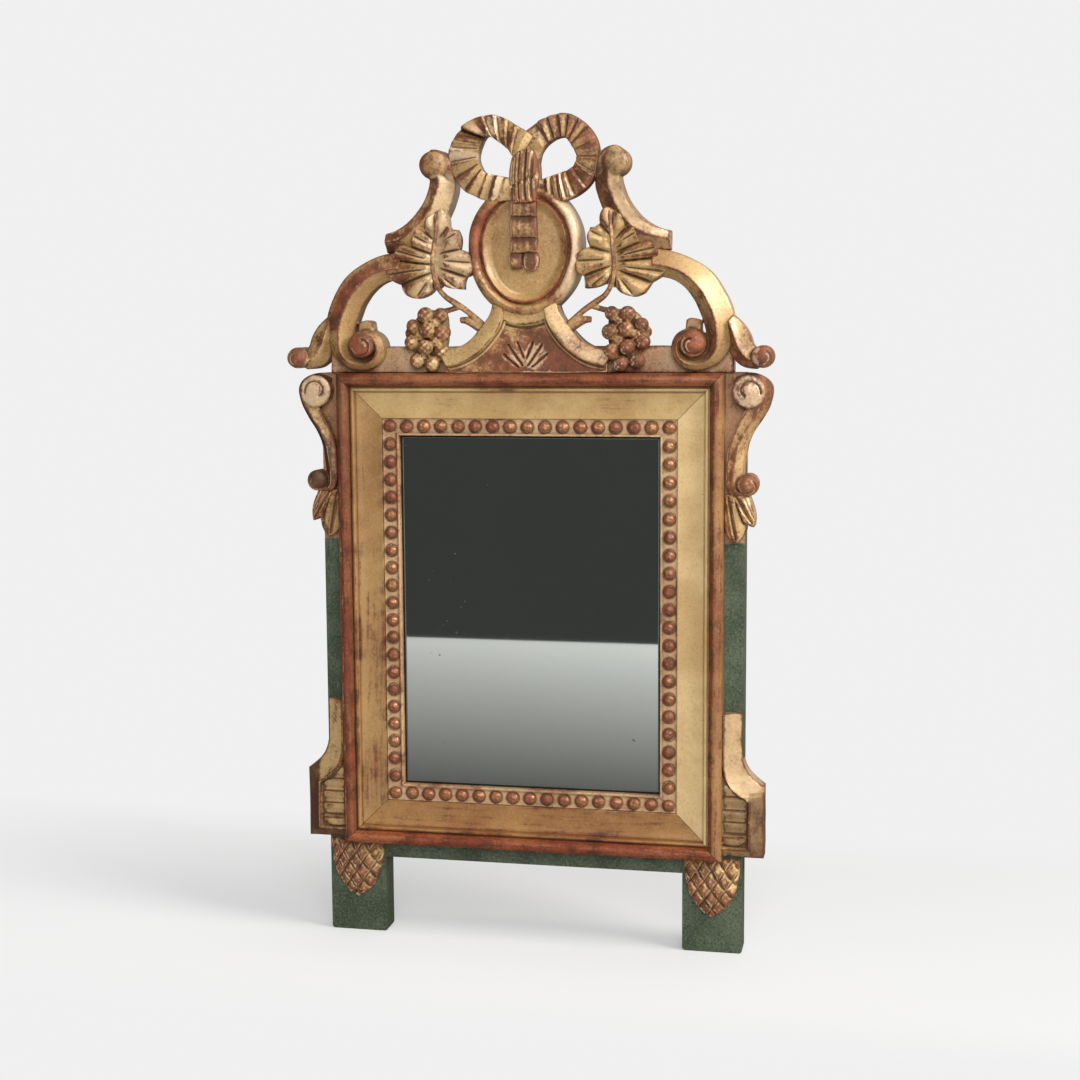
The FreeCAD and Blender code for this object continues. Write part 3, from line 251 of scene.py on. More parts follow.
leaf = layered(given["Leaf"],
               (fade(broad, 0.34, 0.68), given["Leaf Shade"]),
               (fade(middle, 0.46, 0.72, 0.0, 0.5), given["Leaf Shade"]),
               (fade(fine, 0.5, 0.8, 0.0, 0.45), given["Leaf Shade"]),
               (fade(dots, 0.53, 0.64, 0.0, 0.5) * given["Specks"], given["Bole"]),
               (fade(dots, 0.46, 0.36, 0.0, 0.4) * given["Specks"], given["Gesso"]),
               (pale * fade(fine, 0.25, 0.6, 1.0, 0.55), given["Pale"]))

rubbed_and_shaded = worn * given["Wear"] + given["Rub"] + (middle + broad - 1.0) * 1.3 * given["Patches"]
rubbed_and_shaded = rubbed_and_shaded + (fine - 0.5) * given["Specks"] + (streaks - 0.5) * given["Streak"]
# Painted shade: surfaces that face left get more red bole, so they read as turned away from the light.
rubbed_and_shaded = rubbed_and_shaded + fade(side["X"], -0.04, -0.6) * given["Side Wear"]
bare_bole, bare_gesso = fade(rubbed_and_shaded, 0.12, 0.62), fade(rubbed_and_shaded, 0.84, 1.2, 0.0, 0.85)
# The dark brown goes where dirt settles in low points, and also where the rules store painted shade; `Dirt`
# scales both.
grimy_and_shaded = fade(hollow * given["Dirt"] + middle * 0.5 - 0.27, 0.05, 0.9)
# Painted shade: surfaces turned away from the front are darkened, the more so where they face left.
turned_away_shade = fade(side["Y"], -0.5, -0.12) * (side["X"] * -0.3 + 0.5) * given["Side Dirt"]
back = fade(side["Y"], 0.75, 0.9)
bole = mix(fade(middle, 0.36, 0.64), given["Bole"], given["Bole Dark"])
fill(put_out["Color"], layered(leaf, (bare_bole * 0.9, bole), (bare_gesso, given["Gesso"]),
                               (grimy_and_shaded * 0.85, given["Shade And Grime"]), (specks * given["Specks"], given["Shade And Grime"]),
                               (turned_away_shade, given["Shade And Grime"]),
                               (back, wood_grain(where, given["Wood"], given["Shade And Grime"]))))

shine = (1.0 - bare_bole) * (1.0 - grimy_and_shaded) * (1.0 - back)
fill(put_out["Metallic"], shine * given["Shine"])
fill(put_out["Coat"], shine * 0.6)
fill(put_out["Roughness"], shine * -0.16 + fine * 0.2 + 0.5)
fill(put_out["Height"], middle * 0.6 + fine * 0.35 - bare_bole * 0.12)
print("group gilding_wear_and_shade:", len(gild_tree.nodes), "nodes")

# %% [markdown]
# ## Paint, wood and iron
# The joinery has no stored wear, so its edges are found in the shader: a Bevel node rounds the normal near
# an edge, and where the rounded normal and the true one part, there is an edge. That mask drives chipped
# paint.

# %% Edge mask, as a node group
edge_tree, given, put_out = new_group("edge_mask", {"Reach": 0.0018, "Ragged": 0.8}, {"Edge": 0.0})
rounded = add(edge_tree, "Bevel", {"Radius": given["Reach"]}, samples=6)
true = add(edge_tree, "NewGeometry", output="Normal")
agreed = add(edge_tree, "VectorMath", {0: rounded, 1: true}, "Value", operation="DOT_PRODUCT")
tear = noise(places(edge_tree), 240, 5, 0.65)
fill(put_out["Edge"], fade((1.0 - agreed) * 3.2 + tear * given["Ragged"] - 0.45, 0.12, 0.42))
print("group edge_mask:", len(edge_tree.nodes), "nodes")


# %% Gilded finishes
def finish(name):
    """A new material, its tree and its shader's sockets."""
    made = bpy.data.materials.new(name)
    made.use_nodes = True
    return made, made.node_tree, made.node_tree.nodes["Principled BSDF"].inputs


def spaced(values):
    """Socket names from argument names."""
    return {label.replace("_", " "): value for label, value in values.items()}


def group(tree, kind, **values):
    """A node group inside a shader tree, and its first output."""
    return add(tree, "Group", spaced(values), node_tree=kind)


def lay(shader, bump, **values):
    """Fill a shader's sockets, and raise its surface by (height, strength, distance)."""
    for label, value in spaced(values).items():
        fill(shader[label], value)
    height, strength, distance = bump
    raised = add(height.tree, "Bump", {"Strength": strength, "Distance": distance, "Height": height})
    fill(shader["Normal"], raised)


def gilded(name, bump=0.35, glint=0.4, **values):
    """One of the gilded finishes, from the shared layers and its own colours."""
    made, tree, shader = finish(name)
    out = group(tree, gild_tree, **values)
    lay(shader, (out["Height"], bump, 0.0006), Base_Color=out["Color"], Metallic=out["Metallic"],
        Roughness=out["Roughness"], Coat_Weight=out["Coat"], Coat_Roughness=0.3, Specular_IOR_Level=glint)
    return made


carved_gilding = gilded("carved_gilding", Wear=0.6, Rub=0.04, Dirt=1.0)
red_gilding = gilded("reddened_gilding", Wear=0.55, Rub=0.24, Dirt=1.0, Shine=0.2, Patches=0.7)
board_gilding = gilded("board_gilding", Leaf=(0.62, 0.42, 0.23), Leaf_Shade=(0.46, 0.25, 0.13), Wear=0.5,
                       Rub=0.04, Shine=0.12)
ribbon_gilding = gilded("ribbon_gilding", Wear=0.34, Rub=0.02, Dirt=1.0)
scroll_gilding = gilded("scroll_gilding", Wear=0.6, Rub=0.04, Dirt=1.0, Patches=0.6, Side_Wear=0.3,
                        Bole=(0.27, 0.058, 0.026))
oval_gilding = gilded("oval_gilding", Leaf=(0.48, 0.30, 0.11), Leaf_Shade=(0.32, 0.17, 0.056), Wear=0.6,
                      Rub=0.02, Dirt=0.45, Bole=(0.32, 0.066, 0.032), Bole_Dark=(0.15, 0.032, 0.015),
                      Side_Wear=0.15)
pearl_gilding = gilded("pearl_gilding", Leaf=(0.40, 0.18, 0.068), Leaf_Shade=(0.25, 0.09, 0.034), Wear=0.15,
                       Rub=0.22, Dirt=1.0, Bole=(0.22, 0.052, 0.021), Bole_Dark=(0.12, 0.027, 0.012),
                       Shine=0.5, Side_Wear=0.3)
strip_gilding = gilded("pearl_ground", Leaf=(0.66, 0.43, 0.22), Leaf_Shade=(0.48, 0.26, 0.13), Wear=0.3,
                       Rub=-0.02, Dirt=1.0, Shine=0.12)
# The four sticks are coloured apart: the right one lighter, the left and bottom ones darker, partly wear and
# partly painted light and shade, brighter towards the lamp on the right. Each holds leaf and shade of the
# cove, then leaf and shade of the torus.
STICK_COLOURS_WORN_AND_SHADED = {
    "top": ((0.62, 0.43, 0.18), (0.44, 0.26, 0.095), (0.30, 0.105, 0.040), (0.19, 0.055, 0.020)),
    "bottom": ((0.39, 0.20, 0.06), (0.28, 0.118, 0.032), (0.34, 0.105, 0.036), (0.21, 0.055, 0.018)),
    "right": ((0.78, 0.57, 0.275), (0.58, 0.375, 0.155), (0.36, 0.195, 0.072), (0.22, 0.10, 0.036)),
    "left": ((0.42, 0.245, 0.084), (0.28, 0.14, 0.045), (0.22, 0.090, 0.033), (0.14, 0.048, 0.018))}
stick_finishes = {}
for edge, (leaf, shade, red_leaf, red_shade) in STICK_COLOURS_WORN_AND_SHADED.items():
    stick_finishes[edge] = [
        gilded("cove_gilding_" + edge, 0.22, Leaf=leaf, Leaf_Shade=shade, Wear=0.5, Rub=-0.1, Dirt=0.6,
               Streak=1.5, Side_Wear=0.0, Patches=0.6, Specks=0.45),
        gilded("torus_gilding_" + edge, glint=0.25, Leaf=red_leaf, Leaf_Shade=red_shade, Wear=0.3, Rub=0.16,
               Dirt=0.7, Streak=1.6, Shine=0.12, Bole=(0.20, 0.036, 0.016), Side_Dirt=0.3,
               Gesso=(0.46, 0.22, 0.11), Patches=0.5)]
print("gilded finishes:", [m.name for m in bpy.data.materials if "gild" in m.name])


# %% Painted and bare finishes
def green_paint(name, gilt_from=None):
    """Dull green paint, chipped at the edges; above `gilt_from` the front is gilded."""
    made, tree, shader = finish(name)
    where, side = places(tree), facing(tree)
    strokes, cloud = noise(where, 55, 6, 0.6, (5.0, 5.0, 0.6)), noise(where, 38, 5, 0.6)
    fine = noise(where, 500, 4)
    chipped = fade(noise(where, 130, 6, 0.7), 0.68, 0.73).larger(group(tree, edge_tree))
    colour = layered(mix(fade(cloud, 0.35, 0.68), (0.045, 0.067, 0.034), (0.094, 0.120, 0.070)),
                     (fade(strokes, 0.48, 0.75, 0.0, 0.6), (0.042, 0.070, 0.040)),
                     (fade(fine, 0.54, 0.66, 0.0, 0.6), (0.16, 0.18, 0.12)),
                     (fade(fine, 0.47, 0.38, 0.0, 0.75), (0.024, 0.03, 0.018)),
                     (chipped * 0.8, (0.10, 0.055, 0.03)),
                     (fade(side["Y"], 0.6, 0.8),
                      wood_grain(where, (0.24, 0.14, 0.078), (0.10, 0.056, 0.031))))
    metal = 0.0
    if gilt_from is not None:
        out = group(tree, gild_tree, Rub=0.1, Wear=0.5, Leaf=(0.46, 0.25, 0.125),
                    Leaf_Shade=(0.32, 0.16, 0.075))
        level = (gilt_from - HINGE_Z) * MM
        ragged = parts(where)["Z"] + cloud * 0.012 - 0.006
        gilt = fade(ragged, level - 0.0015, level + 0.0015) * fade(side["Y"] * -1.0, 0.5, 0.7)
        colour, metal = mix(gilt, colour, out["Color"]), gilt * out["Metallic"]
    lay(shader, (strokes * 0.7 - chipped * 0.5, 0.3, 0.0005), Base_Color=colour, Metallic=metal,
        Roughness=strokes * 0.3 + 0.36)
    return made


def bare_wood(name, light, dark, stretch):
    """Old softwood with stains; `stretch` lays its grain upright or across."""
    made, tree, shader = finish(name)
    grain, stains = noise(places(tree), 45, 7, 0.62, stretch), noise(places(tree), 14, 4)
    colour = layered(mix(fade(grain, 0.35, 0.68), light, dark),
                     (fade(stains, 0.5, 0.75, 0.0, 0.5), (0.05, 0.03, 0.018)),
                     (group(tree, edge_tree) * 0.4, (0.26, 0.16, 0.09)))
    lay(shader, (grain, 0.45, 0.0006), Base_Color=colour, Roughness=grain * 0.25 + 0.55)
    return made


def old_iron(name):
    """Dark iron with rust, bright where handling has polished its edges."""
    made, tree, shader = finish(name)
    cloud = noise(places(tree), 300, 6, 0.65)
    rust = fade(cloud, 0.5, 0.68)
    colour = layered(mix(rust, (0.16, 0.15, 0.14), (0.11, 0.045, 0.02)),
                     (group(tree, edge_tree, Reach=0.0006) * 0.6, (0.36, 0.34, 0.32)))
    lay(shader, (cloud, 0.5, 0.0003), Base_Color=colour, Metallic=0.9 - rust * 0.75,
        Roughness=rust * 0.35 + 0.42)
    return made


def silvered_glass(name):
    """Old mirror plate: bright, slightly green, with small dark spots where the silvering has lifted."""
    made, tree, shader = finish(name)
    where = places(tree)
    cloud = noise(where, 9, 5, 0.6)
    foxed = fade(noise(where, 210, 3, 0.5), 0.68, 0.76) * fade(cloud, 0.5, 0.62)
    aside = abs(parts(where)["X"]) - SIGHT_HALF_W * MM
    upward = abs(parts(where)["Z"] + HINGE_Z * MM) - SIGHT_HALF_H * MM
    reach = aside.larger(upward)
    edge = fade(reach, -0.0026, -0.0022)
    colour = layered(mix(cloud, (0.74, 0.78, 0.75), (0.80, 0.82, 0.80)),
                     (foxed * 0.7, (0.05, 0.045, 0.04)), (edge, (0.045, 0.05, 0.045)),
                     (edge * fade(reach, -0.0017, -0.0014, 1.0, 0.0), (0.30, 0.36, 0.32)))
    fill(shader["Base Color"], colour)
    fill(shader["Roughness"], foxed * 0.4 + edge * 0.4 + 0.02)
    shader["Metallic"].default_value = 1.0
    return made


stile_green, rail_green = green_paint("green_paint", gilt_from=62.0), green_paint("rail_paint")
frame_wood = bare_wood("bare_wood", (0.19, 0.115, 0.062), (0.085, 0.05, 0.028), (5.0, 5.0, 0.45))
board_wood = bare_wood("board_wood", (0.25, 0.165, 0.095), (0.13, 0.08, 0.045), (0.4, 5.0, 5.0))
iron = old_iron("old_iron")
mirror_silver = silvered_glass("silvered_glass")
print("finishes in all:", len(bpy.data.materials))

# %% [markdown]
# ## Carving helpers
# Real carving starts as a board sawn to an outline, and its front is then cut down with gouges. The
# helpers follow that. `smooth_line` draws a fair curve through a few measured points, `relief` saws a
# board and cuts its front to any depth rule, and `band` runs a moulded strip between an outer and an inner
# line. Each gives back a shell: its points in millimetres and its faces.

# %% Smooth lines and outlines
def smooth_line(points, step=1.0, closed=False):
    """Evenly spaced points on a smooth line through the given ones, in any number of dimensions."""
    p = np.array(points, float)
    if closed:
        p = np.vstack([p, p[:1]])
    gaps = np.sqrt(np.linalg.norm(np.diff(p, axis=0), axis=1))[:, None]
    slopes = np.diff(p, axis=0) / gaps
    lean = np.repeat(slopes[:1], len(p), axis=0)
    if len(p) > 2:
        lean[1:-1] = (slopes[:-1] * gaps[1:] + slopes[1:] * gaps[:-1]) / (gaps[1:] + gaps[:-1])
        lean[0] = 1.5 * slopes[0] - 0.5 * lean[1]
        lean[-1] = 1.5 * slopes[-1] - 0.5 * lean[-2]
    if closed:
        lean[0] = lean[-1] = (slopes[0] * gaps[-1] + slopes[-1] * gaps[0]) / (gaps[0] + gaps[-1])
    part = np.linspace(0, 1, 17)[:-1, None]
    runs = []
    for i in range(len(p) - 1):
        start = (1 + 2 * part) * (1 - part) ** 2 * p[i] + part * (1 - part) ** 2 * gaps[i] * lean[i]
        end = part ** 2 * (3 - 2 * part) * p[i + 1] + part ** 2 * (part - 1) * gaps[i] * lean[i + 1]
        runs.append(start + end)
    line = np.vstack(runs + [p[-1:]])
    along = np.concatenate([[0], np.cumsum(np.linalg.norm(np.diff(line, axis=0), axis=1))])
    places = np.linspace(0, along[-1], max(2, round(along[-1] / step) + 1))
    even = np.stack([np.interp(places, along, line[:, k]) for k in range(p.shape[1])], 1)
    return even[:-1] if closed else even


def outline(start, *runs, step=1.0):
    """A closed outline: smooth within each run, with a corner where runs meet."""
    points = [np.array([start], float)]
    for run in runs:
        points.append(smooth_line([tuple(points[-1][-1])] + list(run), step)[1:])
    line = np.vstack(points)
    return line[:-1] if np.allclose(line[0], line[-1]) else line


def edge_distance(points, line, closed=True):
    """How far each point is from a line."""
    ends = np.roll(line, -1, axis=0) if closed else line[1:]
    starts = line if closed else line[:-1]
    run = ends - starts
    size = np.maximum((run ** 2).sum(1), 1e-9)
    away = points[:, None] - starts[None]
    share = np.clip((away * run[None]).sum(2) / size, 0, 1)
    return np.sqrt(((away - share[..., None] * run[None]) ** 2).sum(2).min(1))


def inside(points, line):
    """Which points lie within a closed line."""
    x, z = points[:, :1], points[:, 1:]
    x0, z0 = line[:, 0][None], line[:, 1][None]
    x1, z1 = np.roll(line[:, 0], -1)[None], np.roll(line[:, 1], -1)[None]
    spans = (z0 > z) != (z1 > z)
    crossing = x0 + (z - z0) * (x1 - x0) / np.where(np.abs(z1 - z0) < 1e-9, 1e-9, z1 - z0)
    return (spans & (x < crossing)).sum(1) % 2 == 1


def step_up(value, low, high):
    """0 below `low`, 1 above `high`, smooth between."""
    share = np.clip((value - low) / (high - low), 0, 1)
    return share * share * (3 - 2 * share)


def soften(front, edge, radius):
    """Round the front over where it nears its edge."""
    short = np.clip(radius - edge, 0, radius)
    return front - radius + np.sqrt(radius ** 2 - short ** 2)


print("a circle's outline has", len(smooth_line([(5, 0), (0, 5), (-5, 0), (0, -5)], 1.0, True)), "points")


# %% Boards sawn to an outline
# Rows of points up a wall, as shares of its height, and the height of a row of even triangles.
WALL_ROWS = (0, 0.35, 0.7)
TRIANGLE_ROW = 0.866


def turns_left(line):
    """Whether a closed line runs anticlockwise, by the sign of its area."""
    return (line[:, 0] * np.roll(line[:, 1], -1) - np.roll(line[:, 0], -1) * line[:, 1]).sum() > 0


def sawn(line, step):
    """Points that fill an outline, the triangles between them, and the numbers of those on the outline."""
    low, high = line.min(0), line.max(0)
    columns, rows = np.arange(low[0], high[0], step), np.arange(low[1], high[1], step * TRIANGLE_ROW)
    grid = np.array([(x + (row % 2) * step / 2, z) for row, z in enumerate(rows) for x in columns])
    grid = grid[inside(grid, line)]
    grid = grid[edge_distance(grid, line) > 0.75 * step]
    along = np.roll(line, -1, axis=0) - np.roll(line, 1, axis=0)
    inward = np.stack([-along[:, 1], along[:, 0]], 1)
    inward /= np.maximum(np.linalg.norm(inward, axis=1, keepdims=True), 1e-9)
    rim = line + inward * 0.4 * step
    rim = rim[inside(rim, line) & (edge_distance(rim, line) > 0.36 * step)]
    count = len(line)
    sides = [(i, (i + 1) % count) for i in range(count)]
    made = delaunay_2d_cdt([Vector(p) for p in np.vstack([line, rim, grid])], sides, [], 1, 1e-5)
    flat, triangles = np.array([tuple(v) for v in made[0]]), made[2]
    kept = inside(np.array([flat[list(f)].mean(0) for f in triangles]), line)
    new_of = {next(iter(old), -1): new for new, old in enumerate(made[3])}
    return flat, [tuple(f) for f, keep in zip(triangles, kept) if keep], [new_of[i] for i in range(count)]


def relief(line, back, front, step=1.15):
    """A board sawn to a closed outline. `front(x, z, edge)` gives its front depth."""
    line = line if turns_left(line) else line[::-1]
    flat, faces, ring = sawn(line, step)
    depth = front(flat[:, 0], flat[:, 1], edge_distance(flat, line))
    verts, upper, total = [np.column_stack([flat, depth])], ring, len(flat)
    for share in reversed(WALL_ROWS):
        verts.append(np.column_stack([flat[ring], back + (depth[ring] - back) * share]))
        lower = list(range(total, total + len(ring)))
        total += len(ring)
        for i in range(len(ring)):
            j = (i + 1) % len(ring)
            faces.append((upper[i], lower[i], lower[j], upper[j]))
        upper = lower
    faces.append(tuple(reversed(upper)))
    return np.vstack(verts), faces


square = outline((0, 0), [(5, 0)], [(5, 5)], [(0, 5)], [(0, 0)])
print("a square of 5 mm gets", len(sawn(square, 1.0)[1]), "triangles")


# %% Bands, turned pieces and rods
def loft(sections):
    """A skin over closed sections that all have as many points, with a cap at each end."""
    sections = np.asarray(sections, float)
    rows, width = sections.shape[:2]
    faces = []
    for start in range(0, (rows - 1) * width, width):
        for j in range(width):
            k = (j + 1) % width
            faces.append((start + j, start + k, start + width + k, start + width + j))
    faces.append(tuple(reversed(range(width))))
    faces.append(tuple((rows - 1) * width + j for j in range(width)))
    return sections.reshape(-1, 3), faces


# Where the points of a band lie across it: closer together near its edges.
ACROSS = np.array([0, .012, .03, .06, .10, .15, .21, .27, .33, .39, .45, .50, .55, .60, .64, .68, .72, .76,
                   .80, .85, .90, .94, .97, .988, 1])


def band(stations, back, front, step=1.2):
    """A strip between an outer and an inner line, given as (outer x, z, inner x, z) stations.
    `front(along, across, width)` gives its front depth."""
    line = smooth_line(stations, step * 1.4)
    outer, inner = line[:, :2], line[:, 2:]
    width = np.linalg.norm(inner - outer, axis=1)
    along = np.linspace(0, 1, len(line))
    depth = front(along[:, None], ACROSS[None], width[:, None]) + 0 * along[:, None]
    flat = outer[:, None] * (1 - ACROSS)[None, :, None] + inner[:, None] * ACROSS[None, :, None]

    def wall(line, rim, share):
        return np.column_stack([line, back + (rim - back) * share])[:, None]
    rows = [wall(outer, depth[:, 0], share) for share in WALL_ROWS]
    rows.append(np.concatenate([flat, depth[..., None]], 2))
    rows += [wall(inner, depth[:, -1], share) for share in reversed(WALL_ROWS)]
    return loft(np.concatenate(rows, 1))


def eased(front, across, width, radius):
    """Round a band's front over along both of its edges."""
    return soften(front, np.minimum(across, 1 - across) * width, radius)


def oval(place, half_w, half_h, count):
    """Points round an oval."""
    angles = np.linspace(0, 2 * math.pi, count, endpoint=False)
    return np.column_stack([place[0] + half_w * np.cos(angles), place[1] + half_h * np.sin(angles)])


def at_depth(flat, depth):
    """Flat points set at one depth."""
    return np.column_stack([flat, np.full(len(flat), depth)])


def turned(place, profile, sides=40, stretch=1.0):
    """A piece turned about an axis that points forward, from (radius, depth) rings."""
    return loft([at_depth(oval(place, radius, radius * stretch, sides), depth) for radius, depth in profile])


def rod(path, radii, sides, ridge):
    """A round rod along (x, z, depth) points, with its radius at each; `ridge` cuts a line down its front."""
    line = smooth_line([(*p, r) for p, r in zip(path, radii)], 1.3)
    middle, radius = line[:, :3], line[:, 3]
    ahead = np.gradient(middle, axis=0)
    ahead /= np.linalg.norm(ahead, axis=1, keepdims=True)
    aside = np.cross(ahead, (0, 0, 1.0))
    aside /= np.linalg.norm(aside, axis=1, keepdims=True)
    up = np.cross(aside, ahead)
    angles = np.linspace(0, 2 * math.pi, sides, endpoint=False)
    reach = 1 - ridge * np.exp(-(((angles - math.pi / 2 + math.pi) % (2 * math.pi) - math.pi) / 0.45) ** 2)
    around = aside[:, None] * np.cos(angles)[None, :, None] + up[:, None] * np.sin(angles)[None, :, None]
    return loft(middle[:, None] + radius[:, None, None] * reach[None, :, None] * around)


def mirrored(shell):
    """The same shell on the other side of the mirror."""
    points, faces = shell
    return points * (-1, 1, 1), [tuple(reversed(f)) for f in faces]


def flat_front(depth, radius):
    """A rule for a flat front with a rounded edge."""
    return lambda x, z, edge: soften(depth, edge, radius)


print("a turned button has", len(turned((0, 0), [(2, 0), (2, 1), (1, 2)])[1]), "faces")

# %% [markdown]
# ## From shells to a finished piece
# A scroll is one piece of wood, so its arm, volute and ball must become one skin. A voxel Remesh does that:
# it fills the overlapping shells with small cubes and skins the whole, which also softens each arris as gesso
# does. Detail lines are cut into the front afterwards. Last, each point is compared with the average of its
# neighbourhood: a point that stands proud is stored as `worn` and one that lies low as `hollow`. A rule is a
# function of x, z and depth, and can add wear, dirt or bright leaf where the photograph shows it, and some
# rules add painted shade and painted highlights.

# %% Meshes and skins
def faces_out(points, faces):
    """Turn all faces of a closed shell to face outwards, by the sign of its volume."""
    volume = 0.0
    for size in {len(f) for f in faces}:
        corners = np.array([f for f in faces if len(f) == size])
        for k in range(1, size - 1):
            across = np.cross(points[corners[:, k]], points[corners[:, k + 1]])
            volume += (points[corners[:, 0]] * across).sum()
    return faces if volume > 0 else [tuple(reversed(f)) for f in faces]


def mesh_from(name, shells):
    """One mesh from several shells."""
    points, faces, start = [], [], 0
    for verts, polys in shells:
        points.append(verts)
        faces += [tuple(i + start for i in f) for f in faces_out(verts - verts.mean(0), polys)]
        start += len(verts)
    mesh = bpy.data.meshes.new(name)
    mesh.from_pydata(to_metres(np.vstack(points)).tolist(), [], faces)
    mesh.validate()
    mesh.update()
    return mesh


def read(mesh):
    """The points of a mesh in millimetres and the way each faces, both as (x, z, depth)."""
    found, normals = np.empty(len(mesh.vertices) * 3), np.empty(len(mesh.vertices) * 3)
    mesh.vertices.foreach_get("co", found)
    mesh.vertex_normals.foreach_get("vector", normals)
    return to_millimetres(found.reshape(-1, 3)), normals.reshape(-1, 3)[:, (0, 2, 1)] * (1, 1, -1)


def one_skin(mesh, voxel):
    """Fuse overlapping shells into one skin of even, soft faces."""
    carrier = show(bpy.data.objects.new("carrier", mesh))
    remesh = carrier.modifiers.new("fuse", "REMESH")
    remesh.mode, remesh.voxel_size, remesh.adaptivity = "VOXEL", voxel * MM, 0.0
    smooth = carrier.modifiers.new("gesso", "SMOOTH")
    smooth.factor, smooth.iterations = 0.5, 3
    made = bpy.data.meshes.new_from_object(carrier.evaluated_get(bpy.context.evaluated_depsgraph_get()))
    bpy.data.objects.remove(carrier)
    bpy.data.meshes.remove(mesh)
    return made


HAND_WAVES, HAND_ASIDE, HAND_DEEP = 5, 0.11, 0.13


def hand_cut(points, seed):
    """Shift points by a fraction of a millimetre in slow waves, as no two carved pieces are quite alike."""
    rng = np.random.default_rng(seed)
    moved = points.copy()
    for _ in range(HAND_WAVES):
        way = rng.normal(size=3)
        wave = 2 * math.pi / rng.uniform(18, 50) * way / np.linalg.norm(way)
        moved[:, :2] += HAND_ASIDE * rng.normal(size=2) * np.sin(points @ wave + rng.uniform(0, 6.3))[:, None]
        moved[:, 2] += HAND_DEEP * rng.normal() * np.sin(points @ wave + rng.uniform(0, 6.3))
    return moved


print("hand cuts shift a point by about", HAND_ASIDE, "mm aside and", HAND_DEEP, "mm deep")

# %% Wear and dirt
WEAR_REACH = 1.6
# From how many millimetres a point counts as proud or as low, and over how many more it counts fully.
PROUD_FROM, PROUD_SPAN = 0.06, 0.5
LOW_FROM, LOW_SPAN = 0.03, 0.45


def weather(mesh, worn=None, hollow=None, pale=None, flow=None):
    """Store how proud or how low each point stands in its neighbourhood, and what the rules add to that."""
    points, normals = read(mesh)
    ends = np.empty(len(mesh.edges) * 2, int)
    mesh.edges.foreach_get("vertices", ends)
    a, b = ends.reshape(-1, 2).T
    spans = np.linalg.norm(points[a] - points[b], axis=1)
    weight = 1 / np.maximum(spans, 0.25)
    count = len(points)
    total = np.bincount(a, weight, count) + np.bincount(b, weight, count) + 1e-9

    def spread(values):
        return (np.bincount(a, weight * values[b], count) + np.bincount(b, weight * values[a], count)) / total
    calm = points.copy()
    passes = int(np.clip(round(WEAR_REACH ** 2 / (0.35 * np.median(spans) ** 2)), 2, 16))
    for _ in range(passes):
        calm = 0.3 * calm + 0.7 * np.stack([spread(calm[:, k]) for k in range(3)], 1)
    proud = ((points - calm) * normals).sum(1)
    proud = 0.5 * proud + 0.5 * spread(proud)
    stored = {"worn": np.clip((proud - PROUD_FROM) / PROUD_SPAN, 0, 1),
              "hollow": np.clip((-proud - LOW_FROM) / LOW_SPAN, 0, 1)}
    if worn:
        stored["worn"] = stored["worn"] + worn(*points.T)
    if hollow:
        stored["hollow"] = np.maximum(stored["hollow"], hollow(*points.T))
    if pale:
        stored["pale"] = pale(*points.T)
    if flow is not None:
        stored["flow"] = np.full(count, flow)
    for name, values in stored.items():
        mesh.attributes.new(name, "FLOAT", "POINT").data.foreach_set("value", values.astype(np.float32))


print("wear is measured within about", WEAR_REACH, "mm")


# %% Making a piece
def piece(name, shells, stands_for, materials=(carved_gilding,), slot="carved_gilding", fuse=None, cut=None,
          seed=0, sharp=45, **rules):
    """Build a piece from its shells, put it on its body and give it its finish."""
    mesh = mesh_from(name, shells)
    if fuse:
        mesh = one_skin(mesh, fuse)
    mesh.name = name
    points, normals = read(mesh)
    if seed:
        points = hand_cut(points, seed)
    if cut:
        points[:, 2] += cut(*points.T) * step_up(normals[:, 2], 0.15, 0.6)
    mesh.vertices.foreach_set("co", to_metres(points).ravel())
    mesh.update()
    mesh.shade_smooth()
    if not fuse:
        mesh.set_sharp_from_angle(angle=math.radians(sharp))
    weather(mesh, **rules)
    for material in materials:
        mesh.materials.append(material)
    made = show(bpy.data.objects.new(name, mesh))
    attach(made, "mirror")
    if stands_for:
        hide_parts(*stands_for)
    print(f"{name}: {len(mesh.polygons)} faces")
    return made


def pair(name, make, seed, cut=None, **more):
    """The right-hand piece and its mirror image, each cut by hand."""
    for side, suffix in ((1, "_right"), (-1, "_left")):
        shells = [shell if side > 0 else mirrored(shell) for shell in make()]
        side_cut = (lambda x, z, depth: cut(x * side, z, depth)) if cut else None
        piece(name + "_carved" + suffix, shells, [name + suffix], cut=side_cut,
              seed=seed * 2 + (side > 0), **more)


print("piece makers ready")

# %% [markdown]
# ## The moulding round the glass
# Four sticks are run to one profile and mitred at the corners: a reddish torus outside, a crease, a thin
# fillet and a wide, bright cove. Sweeping the profile between mitred ends gives the real sticks, joints
# and all.

# %% Moulding sticks
# Each point of the profile is an inset from the outer edge and a depth.
TORUS_PROFILE = ((0, 20), (0, 25), (0, 30.4), (0.25, 32.2), (0.9, 34.2), (2, 35.9), (3.4, 37.1), (5, 37.8),
                 (6.5, 37.9), (8, 37.4), (9.2, 36.3), (10.1, 34.6), (10.7, 32.6), (11.1, 30.6),
                 (11.4, 29.6))
COVE_PROFILE = ((11.9, 29.5), (12.15, 30.6), (12.5, 31.8), (12.9, 32.4), (13.6, 32.6), (14.3, 32.5),
                (14.8, 31.9), (15.05, 30.9), (15.25, 29.5), (15.6, 28.7), (16, 28.8), (16.5, 29.3),
                (17.4, 29.2), (19, 28.7), (21.2, 28.2), (24, 27.85), (27, 27.65), (30, 27.5), (33, 27.4),
                (35.6, 27.35), (36.9, 27.4), (37.4, 27.35), (37.75, 26.9), (37.75, 20))
MOULDING_PROFILE = TORUS_PROFILE + COVE_PROFILE
